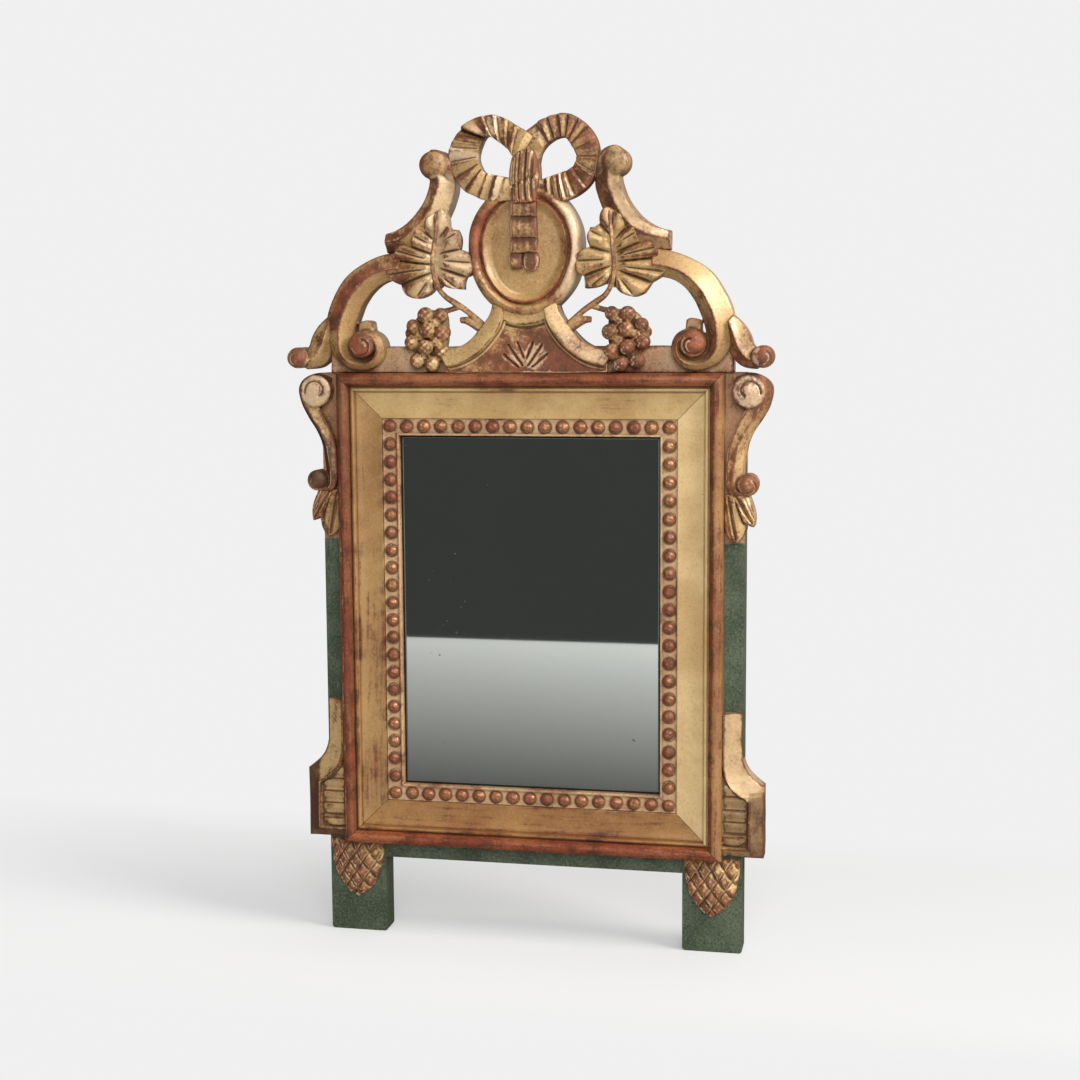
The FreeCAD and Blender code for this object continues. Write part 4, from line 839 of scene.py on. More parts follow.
MITRE_GAP = 0.16
# Each edge of the frame: whether it runs along x, and on which side of the middle it lies.
EDGES = {"top": (True, 1), "bottom": (True, -1), "right": (False, 1), "left": (False, -1)}
# The lower and the left stick show more red bole and the right one less, partly wear and partly painted shade
# away from the lamp on the right; the left stick also grows redder from its top downwards.
STICK_WEAR_AND_SHADE = {"top": 0.06, "bottom": 0.5, "right": -0.2, "left": -0.1}


def reach(edge, half_w, half_h):
    """How far an edge of a rectangle lies from its middle, and half the edge's length."""
    return (half_h, half_w) if EDGES[edge][0] else (half_w, half_h)


def stick(profile, edge, half_w, half_h, step=4.0):
    """A mitred stick, whose outer edge is one edge of a rectangle."""
    (along_x, side), (half_across, half_long) = EDGES[edge], reach(edge, half_w, half_h)
    shares = np.linspace(-1, 1, round(2 * half_long / step) + 1)
    mitre_edge = 1 - 0.6 / half_long
    sections = []
    for share in (-1, -mitre_edge, *shares[1:-1], mitre_edge, 1):
        row = []
        for inset, depth in profile:
            long_way, short_way = share * (half_long - inset - MITRE_GAP), side * (half_across - inset)
            row.append((long_way, short_way, depth) if along_x else (short_way, long_way, depth))
        sections.append(row)
    return loft(sections)


def mitre_line(x, z, depth):
    """Dirt sits in the mitres."""
    gap = (OUT_HALF_W - np.abs(x)) - (OUT_HALF_H - np.abs(z))
    return 1.0 * (np.abs(gap) < 0.45)


torus = len(TORUS_PROFILE)
for edge, stick_tone in STICK_WEAR_AND_SHADE.items():
    made = piece("moulding_run_" + edge, [stick(MOULDING_PROFILE, edge, OUT_HALF_W, OUT_HALF_H)],
                 ["moulding_" + edge], stick_finishes[edge], "moulding_gilding", sharp=50,
                 worn=lambda x, z, depth: stick_tone + 0.85 * step_up(-z, -190, 40) * (edge == "left"),
                 hollow=mitre_line, flow=float(EDGES[edge][0]))
    for face in made.data.polygons:
        rows = [v % len(MOULDING_PROFILE) for v in face.vertices]
        if len(rows) == 4 and min(rows) < torus - 1 and max(rows) < torus + 1:
            face.material_index = 1

# %% [markdown]
# ## The pearls
# A narrow strip beside the glass is carved as a row of pearls with undercut sides. Each pearl is turned as a
# dome, a little higher than a half ball. The ground is darker in a ring round each pearl, and each pearl is
# darker towards its foot, both stored as `hollow`.

# %% Beading
STRIP_PROFILE = ((0, 20), (0, 26), (0.5, 26.3), (1.3, 26), *((inset, 25.9) for inset in range(2, 12)),
                 (12, 26.1), (12.5, 26.9), (13, 27.1), (13.7, 27.05), (14.1, 26.4), (14.1, 23),
                 (14.1, 20.2))
PEARL_INSET = 6.6
PEARL_RINGS = ((4.55, 25.2), (4.8, 26.4), (4.75, 27.4), (4.4, 28.5), (3.8, 29.4), (2.9, 30.15),
               (1.8, 30.5), (0.7, 30.6))
PEARL_FOOT = 25.2
STRIP_HALVES = (SIGHT_HALF_W + STRIP_W, SIGHT_HALF_H + STRIP_W)
PEARLS = {"top": 17, "bottom": 17, "left": 20, "right": 20}


def pearl_places(edge):
    """Where the pearls of one strip stand: the corner pearls belong to the top and bottom strips."""
    along_x, side = EDGES[edge]
    half_across, half_long = reach(edge, *(half - PEARL_INSET for half in STRIP_HALVES))
    if along_x:
        return [(x, side * half_across) for x in np.linspace(-half_long, half_long, PEARLS[edge])]
    return [(side * half_across, z) for z in np.linspace(-half_long, half_long, PEARLS[edge] + 2)[1:-1]]


def pearl_row(edge, seed):
    """The pearls of one strip, each a little off its place and size."""
    rng = np.random.default_rng(seed)
    stretch, wide = (0.87, 1.14) if EDGES[edge][0] else (1.0, 0.97)
    shells = []
    for x, z in pearl_places(edge):
        place = (x + rng.normal() * 0.18, z + rng.normal() * 0.18)
        size = 1 + rng.normal() * 0.025
        rings = [(r * size * wide, PEARL_FOOT + (d - PEARL_FOOT) * size) for r, d in PEARL_RINGS]
        shells.append(turned(place, rings, 22, stretch))
    return shells


def near_pearl(x, z, depth):
    """The ground is darker in a ring round each pearl."""
    feet = np.array(pearl_places(edge))
    gap = np.hypot(x[:, None] - feet[:, 0], z[:, None] - feet[:, 1]).min(1)
    return step_up(gap, 4.3, 4.9) * (1 - step_up(gap, 5.2, 7.0)) * (depth < 26.7)


for seed, edge in enumerate(PEARLS, 11):
    piece("pearl_ground_" + edge, [stick(STRIP_PROFILE, edge, *STRIP_HALVES, 1.3)], ["beading_" + edge],
          [strip_gilding], "pearl_gilding", sharp=50, hollow=near_pearl, flow=float(EDGES[edge][0]))
    piece("pearls_" + edge, pearl_row(edge, seed), (), [pearl_gilding], "pearl_gilding", sharp=60,
          cut=lambda x, z, depth: 0.35 * np.sin(x * 1.1 + z) * np.sin(z * 0.9 - x * 0.4),
          hollow=lambda x, z, depth: 1 - step_up(depth, 25.8, 28.2))

# %% [markdown]
# ## The crest's base, panel and arch bands
# A plain gilded board carries the crest. On it stand two bands that arch up to the medallion, and between
# them a panel with a small neck moulding and a few leaf cuts, which the gilder left red inside.

# %% Base board and panel
CREST_BACK, BASE_BACK, BASE_FRONT = 14, 6, 24
BASE_LOW, BASE_HIGH, BASE_HALF = 200.35, 221.95, 168.05
board = outline((-BASE_HALF, BASE_LOW), [(BASE_HALF, BASE_LOW)], [(BASE_HALF, BASE_HIGH)],
                [(-BASE_HALF, BASE_HIGH)], [(-BASE_HALF, BASE_LOW)], step=1.6)
piece("crest_base_board", [relief(board, BASE_BACK, flat_front(BASE_FRONT, 1.4), 1.8)], ["crest_base"],
      [board_gilding], seed=3)

ARCH = ((26, 258.1, 14.1, 250), (28.8, 249.1, 16, 240.2), (33, 242.1, 21, 230.5),
        (41.1, 231.9, 28.9, 220.5), (49.9, 224.4, 39, 212), (60, 220.1, 49.9, 206), (71.9, 217, 64, 202.4))
# A cut is its start and end, its half width and its depth.
LEAF_CUTS = (((1.5, 205.5), (14.5, 224), 1.7, 2.6), ((0.9, 212), (7, 226.5), 1.7, 2.6),
             ((5.2, 204.8), (18.5, 216), 1.7, 2.6))


def grooves(x, z, cuts):
    """V-cuts along straight lines, which die out at both ends."""
    points, front = np.stack([x, z], 1), 0 * x
    for start, end, half_width, depth in cuts:
        run = np.subtract(end, start)
        share = ((points - start) @ run) / (run @ run)
        gap = np.abs((points - start) @ (-run[1], run[0])) / np.linalg.norm(run)
        width = half_width * np.sqrt(np.clip(1 - (2 * share - 1) ** 4, 0, 1)) + 1e-6
        front -= depth * np.clip(1 - gap / width, 0, 1) * ((share > 0) & (share < 1))
    return front


def panel_front(x, z, edge):
    curve = 238.2 + 0.012 * x ** 2
    front = 32 + 0.012 * (z - 203) + 3 * step_up(z, curve, curve + 1.6)
    front -= 1.8 * np.exp(-((z - curve + 1.4) / 0.8) ** 2)
    return front + grooves(np.abs(x), z, LEAF_CUTS)


inner = smooth_line([s[2:] for s in ARCH], 1.1)
outer = smooth_line([s[:2] for s in ARCH])
edge_line = inner * 0.6 + outer[np.linspace(0, len(outer) - 1, len(inner)).astype(int)] * 0.4
right_side, left_side = edge_line[::-1], edge_line * (-1, 1)
panel = np.vstack([[(right_side[0][0], 201.0)], right_side, left_side, [(left_side[-1][0], 201.0)]])
panel = np.vstack([smooth_line([panel[i], panel[(i + 1) % len(panel)]], 1.1)[:-1] for i in range(len(panel))])
piece("crest_panel_carved", [relief(panel, CREST_BACK, panel_front, 1.0)], ["crest_panel"], seed=4,
      worn=lambda x, z, depth: 0.95 - 1.1 * step_up(z, 234, 240))


# %% Arch bands
def arch_front(along, across, width):
    front = np.where(across < 0.74, 34.6 + 3.9 * np.sin(across / 0.74 * math.pi / 2), 38.5)
    front = front - 4.6 * step_up(across, 0.76, 0.86)
    return eased(front, across, width, 0.9) - 1.5 * step_up(along, 0.75, 1.0)


pair("crest_arch", lambda: [band(ARCH, CREST_BACK, arch_front)], seed=5)

# %% [markdown]
# ## The medallion
# An oval boss in the middle of the crest: a full outer roll, a deep red groove, a thin ring and a flat
# field. Insets from the oval's edge and depths give its section, and it is run round the oval.

# %% Medallion
MEDALLION_Z, MEDALLION_HALF_W, MEDALLION_HALF_H, MEDALLION_DROP = 301.45, 47.65, 52.5, 56.5
MEDALLION_PROFILE = ((0, 14), (0, 20), (0, 27), (0.1, 30), (0.7, 32.2), (1.7, 34.3), (3, 36.2),
                     (4.4, 37.4), (5.8, 38), (7.2, 38.1), (8.4, 37.6), (9.3, 36.4), (9.9, 34.6),
                     (10.3, 32.8), (10.7, 31.9), (11.2, 31.9), (11.6, 33), (12.1, 34.3), (12.9, 34.9),
                     (13.8, 34.6), (14.8, 33.8), (15.9, 32.9), (17.1, 32), (18.3, 31.3), (19.3, 31),
                     (20.5, 31.1), (23, 31.2), (26, 31.3), (31, 31.5), (37, 31.6), (43, 31.7))
ROUND, MEAN_HALF = 220, 50
above = np.sin(np.linspace(0, 2 * math.pi, ROUND, endpoint=False)) > 0
heights = np.where(above, MEDALLION_HALF_H, MEDALLION_DROP)
sections = [at_depth(oval((0, MEDALLION_Z), MEDALLION_HALF_W - inset, heights - inset, ROUND), depth)
            for inset, depth in MEDALLION_PROFILE]


def red_channel(x, z, depth):
    """The groove inside the outer roll has lost its leaf, and the roll's two sides have kept theirs, the
    right side most, which adds to the painted highlight there.
    """
    dx = x / MEDALLION_HALF_W
    dz = (z - MEDALLION_Z) / np.where(z > MEDALLION_Z, MEDALLION_HALF_H, MEDALLION_DROP)
    inset = (1 - np.hypot(dx, dz)) * MEAN_HALF
    groove = step_up(inset, 8.2, 9.8) * (1 - step_up(inset, 11.8, 13.4))
    sides = 0.16 * step_up(-dx, 0.3, 0.9) + 0.5 * step_up(dx, 0.3, 0.9)
    return 0.8 * (0.55 + 0.45 * step_up(-dz, -0.4, 0.8)) * groove - sides * (inset < 9)


def roll(side, amount):
    """A rule for one side of the outer roll: -1 is the left, 1 the right."""
    def rule(x, z, depth):
        dx, dz = x / MEDALLION_HALF_W, (z - MEDALLION_Z) / MEDALLION_DROP
        return amount * step_up(dx * side, 0.45, 0.85) * step_up(np.hypot(dx, dz), 0.8, 0.84)
    return rule


# Painted shade on the left side of the outer roll and a painted highlight on its right side, as if lit from
# the right.
piece("medallion_carved", [loft(sections)], ["medallion"], [oval_gilding], seed=6, sharp=60, worn=red_channel,
      hollow=roll(-1, 0.42), pale=roll(1, 0.85))

# %% [markdown]
# ## The ribbon bow
# The bow is carved as one strip that loops to each side and is pulled through a knot. Its pleats run
# across the strip, so the strip is laid out between an outer and an inner line and a pleat rule is added
# along its length. In the photograph the two loops differ, so each has its own lines and pleats.

# %% Bow loops
LOOP_RIGHT = ((8, 339.5, 8, 354.5), (16, 340, 17, 355.6), (24, 339, 25, 358), (32, 337.6, 30.5, 359.6),
              (42, 341, 36, 361.6), (50, 346, 40, 364), (55.5, 352, 42, 367), (59.5, 361, 43, 370),
              (61.3, 371, 43, 373), (60.8, 381, 41.5, 377), (57, 390, 39.5, 380.5), (48.5, 400, 36.5, 385),
              (36, 405.9, 33, 387.6), (25, 405.2, 27, 386.8), (15, 401.5, 21, 383.6), (7, 396, 17, 380),
              (0.5, 391, 14, 375), (-2, 385, 12.8, 369), (-3, 378, 12, 362))
LOOP_LEFT = ((-8, 338.5, -8, 356), (-16, 338.3, -14, 357), (-25, 338.3, -22, 358.7),
             (-33, 339.3, -29, 360.3), (-41, 343, -33, 362.5), (-50, 347.5, -35, 366),
             (-56, 356, -36.5, 369.5), (-60, 364.5, -37, 373), (-61.2, 374, -36.5, 377.5),
             (-59.5, 383, -35, 382), (-56, 390, -33, 387), (-50, 398, -30.5, 390),
             (-41, 403.5, -27, 389.3), (-31, 405.6, -22, 386.5), (-22, 405.9, -16.5, 382.5),
             (-14, 403, -12, 378.5), (-7, 398.5, -9, 374), (1, 394, -7, 370), (9, 389, -3, 367))
BOW_BACK = 24
# A fold is a share along the ribbon and a height there.
RIGHT_FOLDS = ((0, -1), (.07, -1.6), (.085, 1.5), (.108, .1), (.128, 1.8), (.145, .3), (.165, 2),
               (.182, .2), (.205, 1.7), (.222, -1.4), (.27, .9), (.285, -.7), (.34, 1.3), (.355, -.5),
               (.41, 1.3), (.425, -.7), (.48, 1.1), (.50, -.7), (.55, .9), (.565, -.9), (.60, 1.4),
               (.615, -.7), (.65, 1.6), (.665, -.6), (.70, 1.6), (.715, -.7), (.75, 1.6), (.765, -.6),
               (.80, 1.5), (.82, -.7), (.87, .3), (.92, -1.4), (1, -2.2))
LEFT_FOLDS = ((0, .4), (.06, 1.3), (.075, .6), (.115, 2), (.135, -1.5), (.18, 1), (.195, -.2), (.25, 1.5),
              (.268, -.8), (.32, 1.6), (.337, -.9), (.395, 1.3), (.412, -.8), (.47, 1.9), (.485, .2),
              (.512, 1), (.525, -.2), (.552, .5), (.583, -3.4), (.592, 2.3), (.65, .9), (.70, 2.8),
              (.712, 1.1), (.765, 3), (.782, .4), (.83, 2.2), (.846, .2), (.895, 2.3), (.912, .6),
              (.96, 2.1), (1, .8))


def loop_front(table, level):
    """A rule for a ribbon whose flat pleats are given as (share along, height) creases."""
    table = np.array(table)

    def front(along, across, width):
        lean = 0.018 * (across - 0.5)
        height = 1.35 * np.interp(along + lean, table[:, 0], table[:, 1]) - 0.4
        return eased(level + height - 1.2 * (2 * across - 1) ** 2, across, width, 0.8)
    return front


# From the knot round to the crossing: from a share along, the pleat is reddened (above 0) or pale (below 0).
# The tones are partly wear and partly painted light and shade, each pleat toned as it would catch the light.
LEFT_TONES = ((0, .5), (.068, -.3), (.13, .1), (.19, .3), (.26, .45), (.33, .2), (.402, -.55), (.477, .2),
              (.52, .45), (.587, .35), (.65, .5), (.706, -.75), (.774, .2), (.84, .45), (.905, .3))
RIGHT_TONES = ((0, .35), (.078, -.2), (.12, .4), (.155, -.55), (.213, .3), (.28, .5), (.347, .05),
               (.417, .25), (.49, .5), (.557, .2), (.607, .4), (.657, .1), (.707, .5), (.757, 0),
               (.81, .45), (.87, .3))


def pleat_tone(stations, table):
    """A rule that gives each point the tone of its pleat."""
    line = smooth_line(stations, 0.8 * 1.4)
    middle = (line[:, :2] + line[:, 2:]) / 2
    shares, tones = np.array(table).T

    def tone(x, z):
        gap = (x[:, None] - middle[:, 0]) ** 2 + (z[:, None] - middle[:, 1]) ** 2
        along = gap.argmin(1) / (len(middle) - 1)
        return tones[np.searchsorted(shares, along, side="right") - 1]
    return tone


for side, stations, folds, level, tones, redder, seed in (
        ("right", LOOP_RIGHT, RIGHT_FOLDS, 37.8, RIGHT_TONES, 0.14, 7),
        ("left", LOOP_LEFT, LEFT_FOLDS, 38.0, LEFT_TONES, -0.16, 8)):
    tone = pleat_tone(stations, np.array(tones) + (0, redder))
    piece("bow_loop_carved_" + side, [band(stations, BOW_BACK, loop_front(folds, level), 0.8)],
          ["bow_loop_" + side], [ribbon_gilding], seed=seed, sharp=30,
          worn=lambda x, z, depth: 2 * np.clip(tone(x, z), 0, 1),
          pale=lambda x, z, depth: np.clip(-1.2 * tone(x, z), 0, 1))


# %% Knot and tail
KNOT = outline((-9.5, 337), [(0, 336.2), (10.6, 337)], [(12.6, 348), (13, 358)], [(12, 370), (9.1, 378)],
               [(5, 380.5), (1, 377.5)], [(-3, 377), (-8.6, 372)], [(-11, 360), (-10.6, 348), (-9.5, 337)],
               step=0.9)


def knot_front(x, z, edge):
    wave = x + 0.9 * np.sin((z - 338) / 9)
    front = 42.6 - 0.020 * (x - 1) ** 2 + 1.0 * np.cos(wave * 2 * math.pi / 5.2)
    front -= 1.9 * np.exp(-((wave + 5.6) / 0.9) ** 2) + 1.5 * np.exp(-((wave - 3.2) / 0.8) ** 2)
    front -= 1.6 * np.exp(-((z - 353 - 0.4 * x) / 2.2) ** 2)
    front += 1.2 * np.exp(-(((x - 7.5) / 3) ** 2 + ((z - 374) / 5.5) ** 2))
    return np.minimum(soften(front, edge, 2.2), 44.3)


TAIL = outline((-10.2, 338), [(-10.6, 318), (-10.2, 300)], [(-12.2, 293), (-11.5, 285.5), (-8, 283.8)],
               [(-3, 284.3), (-0.5, 286.2)], [(3, 283.2), (8, 282.4), (11.8, 286)],
               [(12.4, 292), (10.4, 298.5)], [(11.3, 306), (10.6, 322), (10.4, 338)], [(-10.2, 338)],
               step=0.9)
TAIL_STEPS = (296.5, 308.5, 325.5, 342)


def tail_front(x, z, edge):
    front = 34.2 + 0 * x
    for low, high in zip(TAIL_STEPS, TAIL_STEPS[1:]):
        down = np.clip((high - z) / (high - low), 0, 1)
        swell = 4.0 * np.sin(down ** 0.85 * math.pi) ** 0.55
        front += np.where((z >= low) & (z < high), swell + 0.16 * np.sin(x * 1.1), 0)
    lobes = 4.2 * np.sin(np.clip((z - 281.5) / 15.5, 0, 1) * math.pi) ** 0.5
    lobes += np.where(x > 0, 0.7, -0.8)
    front += np.where(z < TAIL_STEPS[0], lobes - 3.0 * np.exp(-((x + 0.8) / 1.2) ** 2), 0)
    return soften(np.minimum(front, 39.2), edge, 1.6)


def tail_fold_shadow(x, z, depth):
    """Painted shadow under each fold of the tail."""
    low = 0 * x
    for level in TAIL_STEPS[:-1]:
        low = np.maximum(low, step_up(z, level - 7, level - 1) * (z < level + 0.6))
    return 0.85 * low * (np.abs(x) < 12)


def tail_wear_and_shadow(x, z, depth):
    """The right lobe is redder, and the painted shadow under each fold is redder too."""
    lobe = 0.4 * (1 - step_up(np.hypot(x - 6.5, z - 289), 6.5, 9.5)) + 0.15
    return lobe + 0.4 * tail_fold_shadow(x, z, depth)


piece("bow_knot_carved", [relief(KNOT, BOW_BACK, knot_front, 0.85)], ["bow_knot"],
      worn=lambda x, z, depth: 0.5)
piece("ribbon_tail_carved", [relief(TAIL, 30.0, tail_front, 0.85)], ["ribbon_tail"], [red_gilding],
      worn=tail_wear_and_shadow, hollow=tail_fold_shadow)

# %% [markdown]
# ## Scrolls
# Each scroll is an arm with a sharp arris that winds up into a volute or ends in a ball. The arm is a band
# with two facets, and the volute is that band wound round a domed eye. The shells overlap and are fused.

# %% Volutes and balls
def dome(radius, side, top, degrees, width_power=1.0, rise_power=1.0):
    """Rings of a dome that rises from the depth `side` to `top`."""
    rings = []
    for angle in map(math.radians, degrees):
        rings.append((radius * math.cos(angle) ** width_power,
                      side + (top - side) * math.sin(angle) ** rise_power))
    return rings


def ball(place, radius, back, side, top):
    """A ball on a short neck, flattened a little at its front."""
    rings = dome(radius, side, top, (0, 12, 24, 36, 48, 60, 71, 80, 86), 0.9, 0.95)
    return turned(place, [(radius * 0.97, back), (radius, side - 2), *rings], 44)


def button(place, radius, back, side, top):
    """The domed eye of a volute."""
    rings = dome(radius, side, top, (15, 30, 45, 58, 70, 80, 87))
    return turned(place, [(radius, back), (radius, side), *rings])


def spiral_cut(x, z, place, outer, inner, start, sweep, depth, width=0.8):
    """A thin cut that winds from one radius to another."""
    share = np.linspace(0, 1, 60)
    angle = np.radians(start + sweep * share)
    radius = outer + (inner - outer) * share
    line = np.column_stack([place[0] + radius * np.cos(angle), place[1] + radius * np.sin(angle)])
    return -depth * np.exp(-(edge_distance(np.stack([x, z], 1), line, closed=False) / width) ** 2)


def ridge_front(outer_h, arris_h, inner_h, arris, sag=0.7, edge_radius=0.9):
    """A rule for an arm with an arris, whose facets are a little dished. `arris` is its share across, or a
    table of (share along, share across)."""
    table = np.array(arris if np.ndim(arris) else ((0, arris), (1, arris)))

    def front(along, across, width):
        peak = np.interp(along, table[:, 0], table[:, 1])
        first, second = across / peak, (across - peak) / (1 - peak)
        outer_facet = outer_h + (arris_h - outer_h) * first - sag * np.sin(np.clip(first, 0, 1) * math.pi)
        inner_facet = arris_h + (inner_h - arris_h) * second - sag * np.sin(np.clip(second, 0, 1) * math.pi)
        return eased(np.where(across < peak, outer_facet, inner_facet), across, width, edge_radius)
    return front


def wound(place, table):
    """Stations round a volute, from (degrees, outer radius, inner radius)."""
    rows = []
    for degrees, outer, inner in table:
        way = np.array((math.cos(math.radians(degrees)), math.sin(math.radians(degrees))))
        rows.append((*(place + outer * way), *(place + inner * way)))
    return tuple(rows)


def mirror_gap(x, z, place):
    """How far each point is from a place on the right, or from its mirror image on the left."""
    return np.hypot(np.abs(x) - place[0], z - place[1])


# %% Large scrolls
VOLUTE = (136.8, 221.5)
C_ARM = ((104, 299.3, 104, 277.2), (122, 296.1, 118, 275.1), (140, 288, 129, 268),
         (152.9, 277.6, 137.1, 258.1), (162.9, 262.4, 141.8, 248.1), (168.4, 247.1, 145.4, 238),
         (168.6, 233, 147.3, 228.5), (165.2, 218, 148.2, 221))
C_WIND = wound(VOLUTE, ((-34, 24.3, 11.4), (-63, 20.4, 11.2), (-92, 18.9, 10.9), (-122, 18.5, 10.6),
                        (-152, 18.4, 10.3), (-182, 18, 10), (-212, 17, 9.8), (-242, 15.2, 9.6),
                        (-272, 13.8, 9.4), (-300, 12.6, 9.2)))
C_ARRIS = ((0, .60), (.45, .60), (.62, .58), (.72, .55), (.80, .60), (.88, .74), (.95, .84), (1, .86))
C_EYE = (136.9, 224)


def c_scroll():
    arm = band(C_ARM + C_WIND, CREST_BACK, ridge_front(31.0, 40.6, 28.5, C_ARRIS, 0.3))
    filling = turned(VOLUTE, [(12.5, CREST_BACK), (12.5, 31.0), (4, 32.0)])
    stub = relief(outline((129.5, 230), [(143, 230)], [(143, 242)], [(134, 243.8), (130.5, 242)],
                          [(129.5, 230)]), CREST_BACK, flat_front(27, 1.2))
    return [arm, filling, button(C_EYE, 11.4, CREST_BACK, 34.0, 44.0), stub]


def red_round(place, radius):
    """A rule for more wear round a place, on either side of the mirror."""
    return lambda x, z, depth: 0.7 * (1 - step_up(mirror_gap(x, z, place), radius * 0.5, radius * 1.25))


def left_wear_and_shade(stations, peak, amount, start=-0.2):
    """More red bole outside the arris of an arm, on the left of the mirror only: partly wear, and partly
    painted shade on facets turned from the light.
    """
    stations = np.array(stations)
    outer_line, inner_line = smooth_line(stations[:, :2], 4), smooth_line(stations[:, 2:], 4)

    def extra(x, z):
        flat = np.stack([np.abs(x), z], 1)
        outer, inner = (edge_distance(flat, line, closed=False) for line in (outer_line, inner_line))
        share = outer / np.maximum(outer + inner, 0.1)
        within = step_up(share, start - 0.12, start + 0.12) * (1 - step_up(share, peak - 0.1, peak + 0.1))
        return amount * within * (x < 0)
    return extra


# On the left scroll, c_left adds red bole outside the arris, partly wear and partly painted shade; c_eye_red
# is wear round the eye.
c_left, c_eye_red = left_wear_and_shade(C_ARM[1:], 0.6, 0.62, 0.16), red_round(C_EYE, 14)
pair("c_scroll", c_scroll, 10, materials=[scroll_gilding], fuse=0.7,
     cut=lambda x, z, depth: spiral_cut(x, z, C_EYE, 4.0, 10.8, 110, 225, 2.0, 0.9),
     worn=lambda x, z, depth: np.maximum(c_left(x, z) * (z > 236), c_eye_red(x, z, depth)))

# %% Outer curls
CURL_ARM = ((168.1, 246.6, 163.5, 238), (176.6, 238.5, 165, 224), (181.6, 230.6, 168, 212.4),
            (184.6, 222.5, 176, 205.3), (190.5, 217, 188, 203.2))
CURL_BALL = (192.4, 213.2)


def outer_curl():
    arm = band(CURL_ARM, CREST_BACK, ridge_front(32.5, 38.6, 29.0, 0.6, 0.5))
    return [arm, ball(CURL_BALL, 8.95, CREST_BACK, 37.0, 44.0)]


pair("outer_curl", outer_curl, 12, fuse=0.7, worn=red_round(CURL_BALL, 10.5),
     cut=lambda x, z, depth: spiral_cut(x, z, CURL_BALL, 9.2, 5.4, 215, 200, 1.2))

# %% Upper scrolls
UPPER_ARM = ((76, 361, 60.5, 371), (77.6, 357.4, 58, 362), (78.4, 352, 57.2, 350), (81.2, 343, 60, 338.5),
             (85.5, 335.1, 65, 327), (94.1, 324.9, 74, 313.5), (105.1, 317.4, 92, 302),
             (117.4, 313.4, 117.4, 298))
UPPER_BALL = (74.2, 367.9)


def upper_arm_front(along, across, width):
    """The arm's last stretch falls away outwards."""
    front = ridge_front(36.0, 40.4, 31.0, 0.42)(along, across, width)
    return front - 6.5 * np.clip((along - 0.8) / 0.2, 0, 1)


def upper_scroll():
    arm = band(UPPER_ARM, CREST_BACK, upper_arm_front)
    wrap = relief(outline((57.6, 352), [(58.4, 366), (62.5, 375.5), (70, 379.8), (76.5, 380.2)],
                          [(72, 372), (66.5, 362), (65.5, 352)], [(57.6, 352)]), CREST_BACK,
                  lambda x, z, e: soften(31.0 + 8.5 * step_up(z, 350, 366), e, 2.4))
    return [arm, wrap, ball(UPPER_BALL, 11.6, CREST_BACK, 35.5, 42.6)]


upper_left = left_wear_and_shade(UPPER_ARM, 0.42, 0.3)


def upper_wear_and_shade(x, z, depth):
    """On the left the arm and its far end are redder, partly as painted shade where they turn from the light;
    on the right the ball is redder.
    """
    left = np.maximum(upper_left(x, z) * (z < 357), 0.5 * step_up(-x, 100, 106))
    return left + 0.45 * (x > 0) * step_up(z, 353, 358)


def upper_highlight(x, z, depth):
    """Painted highlights: the right arm's far end is pale, and so is the left arm's upper end."""
    return 0.3 * step_up(x, 80, 100) + 0.45 * (x < -57) * (x > -76) * (z < 360)


pair("upper_scroll", upper_scroll, 14, fuse=0.75, worn=upper_wear_and_shade, pale=upper_highlight,
     # Painted shade over the right scroll from its lower stretch upwards, which dims its highlight.
     hollow=lambda x, z, depth: 0.5 * (x > 0) * step_up(z, 314, 324))

# %% [markdown]
# ## Vine leaves, stems and grapes
# Creases leave the leaf's midrib for the notches of its outline, and each lobe between two creases has its
# own small fingers. A double-ridged stem lies over it and runs down to the arch band, and a short branch
# carries the grapes, whose berries keep small flats from the gouge.

# %% Vine leaves
LEAF = outline((66.9, 333), [(72, 331), (80, 325.9)], [(82.5, 319), (84, 315.5)],
               [(88, 316.5), (91.5, 312.6)], [(93.4, 306), (94.5, 303.6)], [(101, 304.8), (106.5, 301.5)],
               [(109, 296), (108, 291.9)], [(113, 290.5), (117.4, 287)], [(113.8, 279), (103.9, 272.4)],
               [(101.5, 268.6), (98, 263.9)], [(90, 261.2), (80, 264), (75, 268.5)],
               [(71, 269), (68.1, 272.1)], [(60, 269), (50.5, 268)], [(50, 274), (48.4, 278)],
               [(43.4, 281), (42.6, 288.5)], [(44.5, 296), (53.4, 300.8)], [(52.6, 309), (55.5, 316.2)],
               [(60, 316.8), (62.1, 319.6)], [(63, 327), (66.9, 333)], step=0.95)
# Each crease runs from a place on the midrib to a notch in the outline.
LEAF_CREASES = (((72, 305), (84, 315.5)), ((73, 295), (94.5, 303.6)), ((74.5, 288.5), (108, 291.9)),
                ((75, 283), (103.9, 272.4)), ((74.5, 281), (75, 268.5)), ((73.5, 281.5), (68.1, 272.1)),
                ((73, 286), (48.4, 278)), ((72.5, 296), (53.4, 300.8)), ((71.5, 308), (62.1, 319.6)))


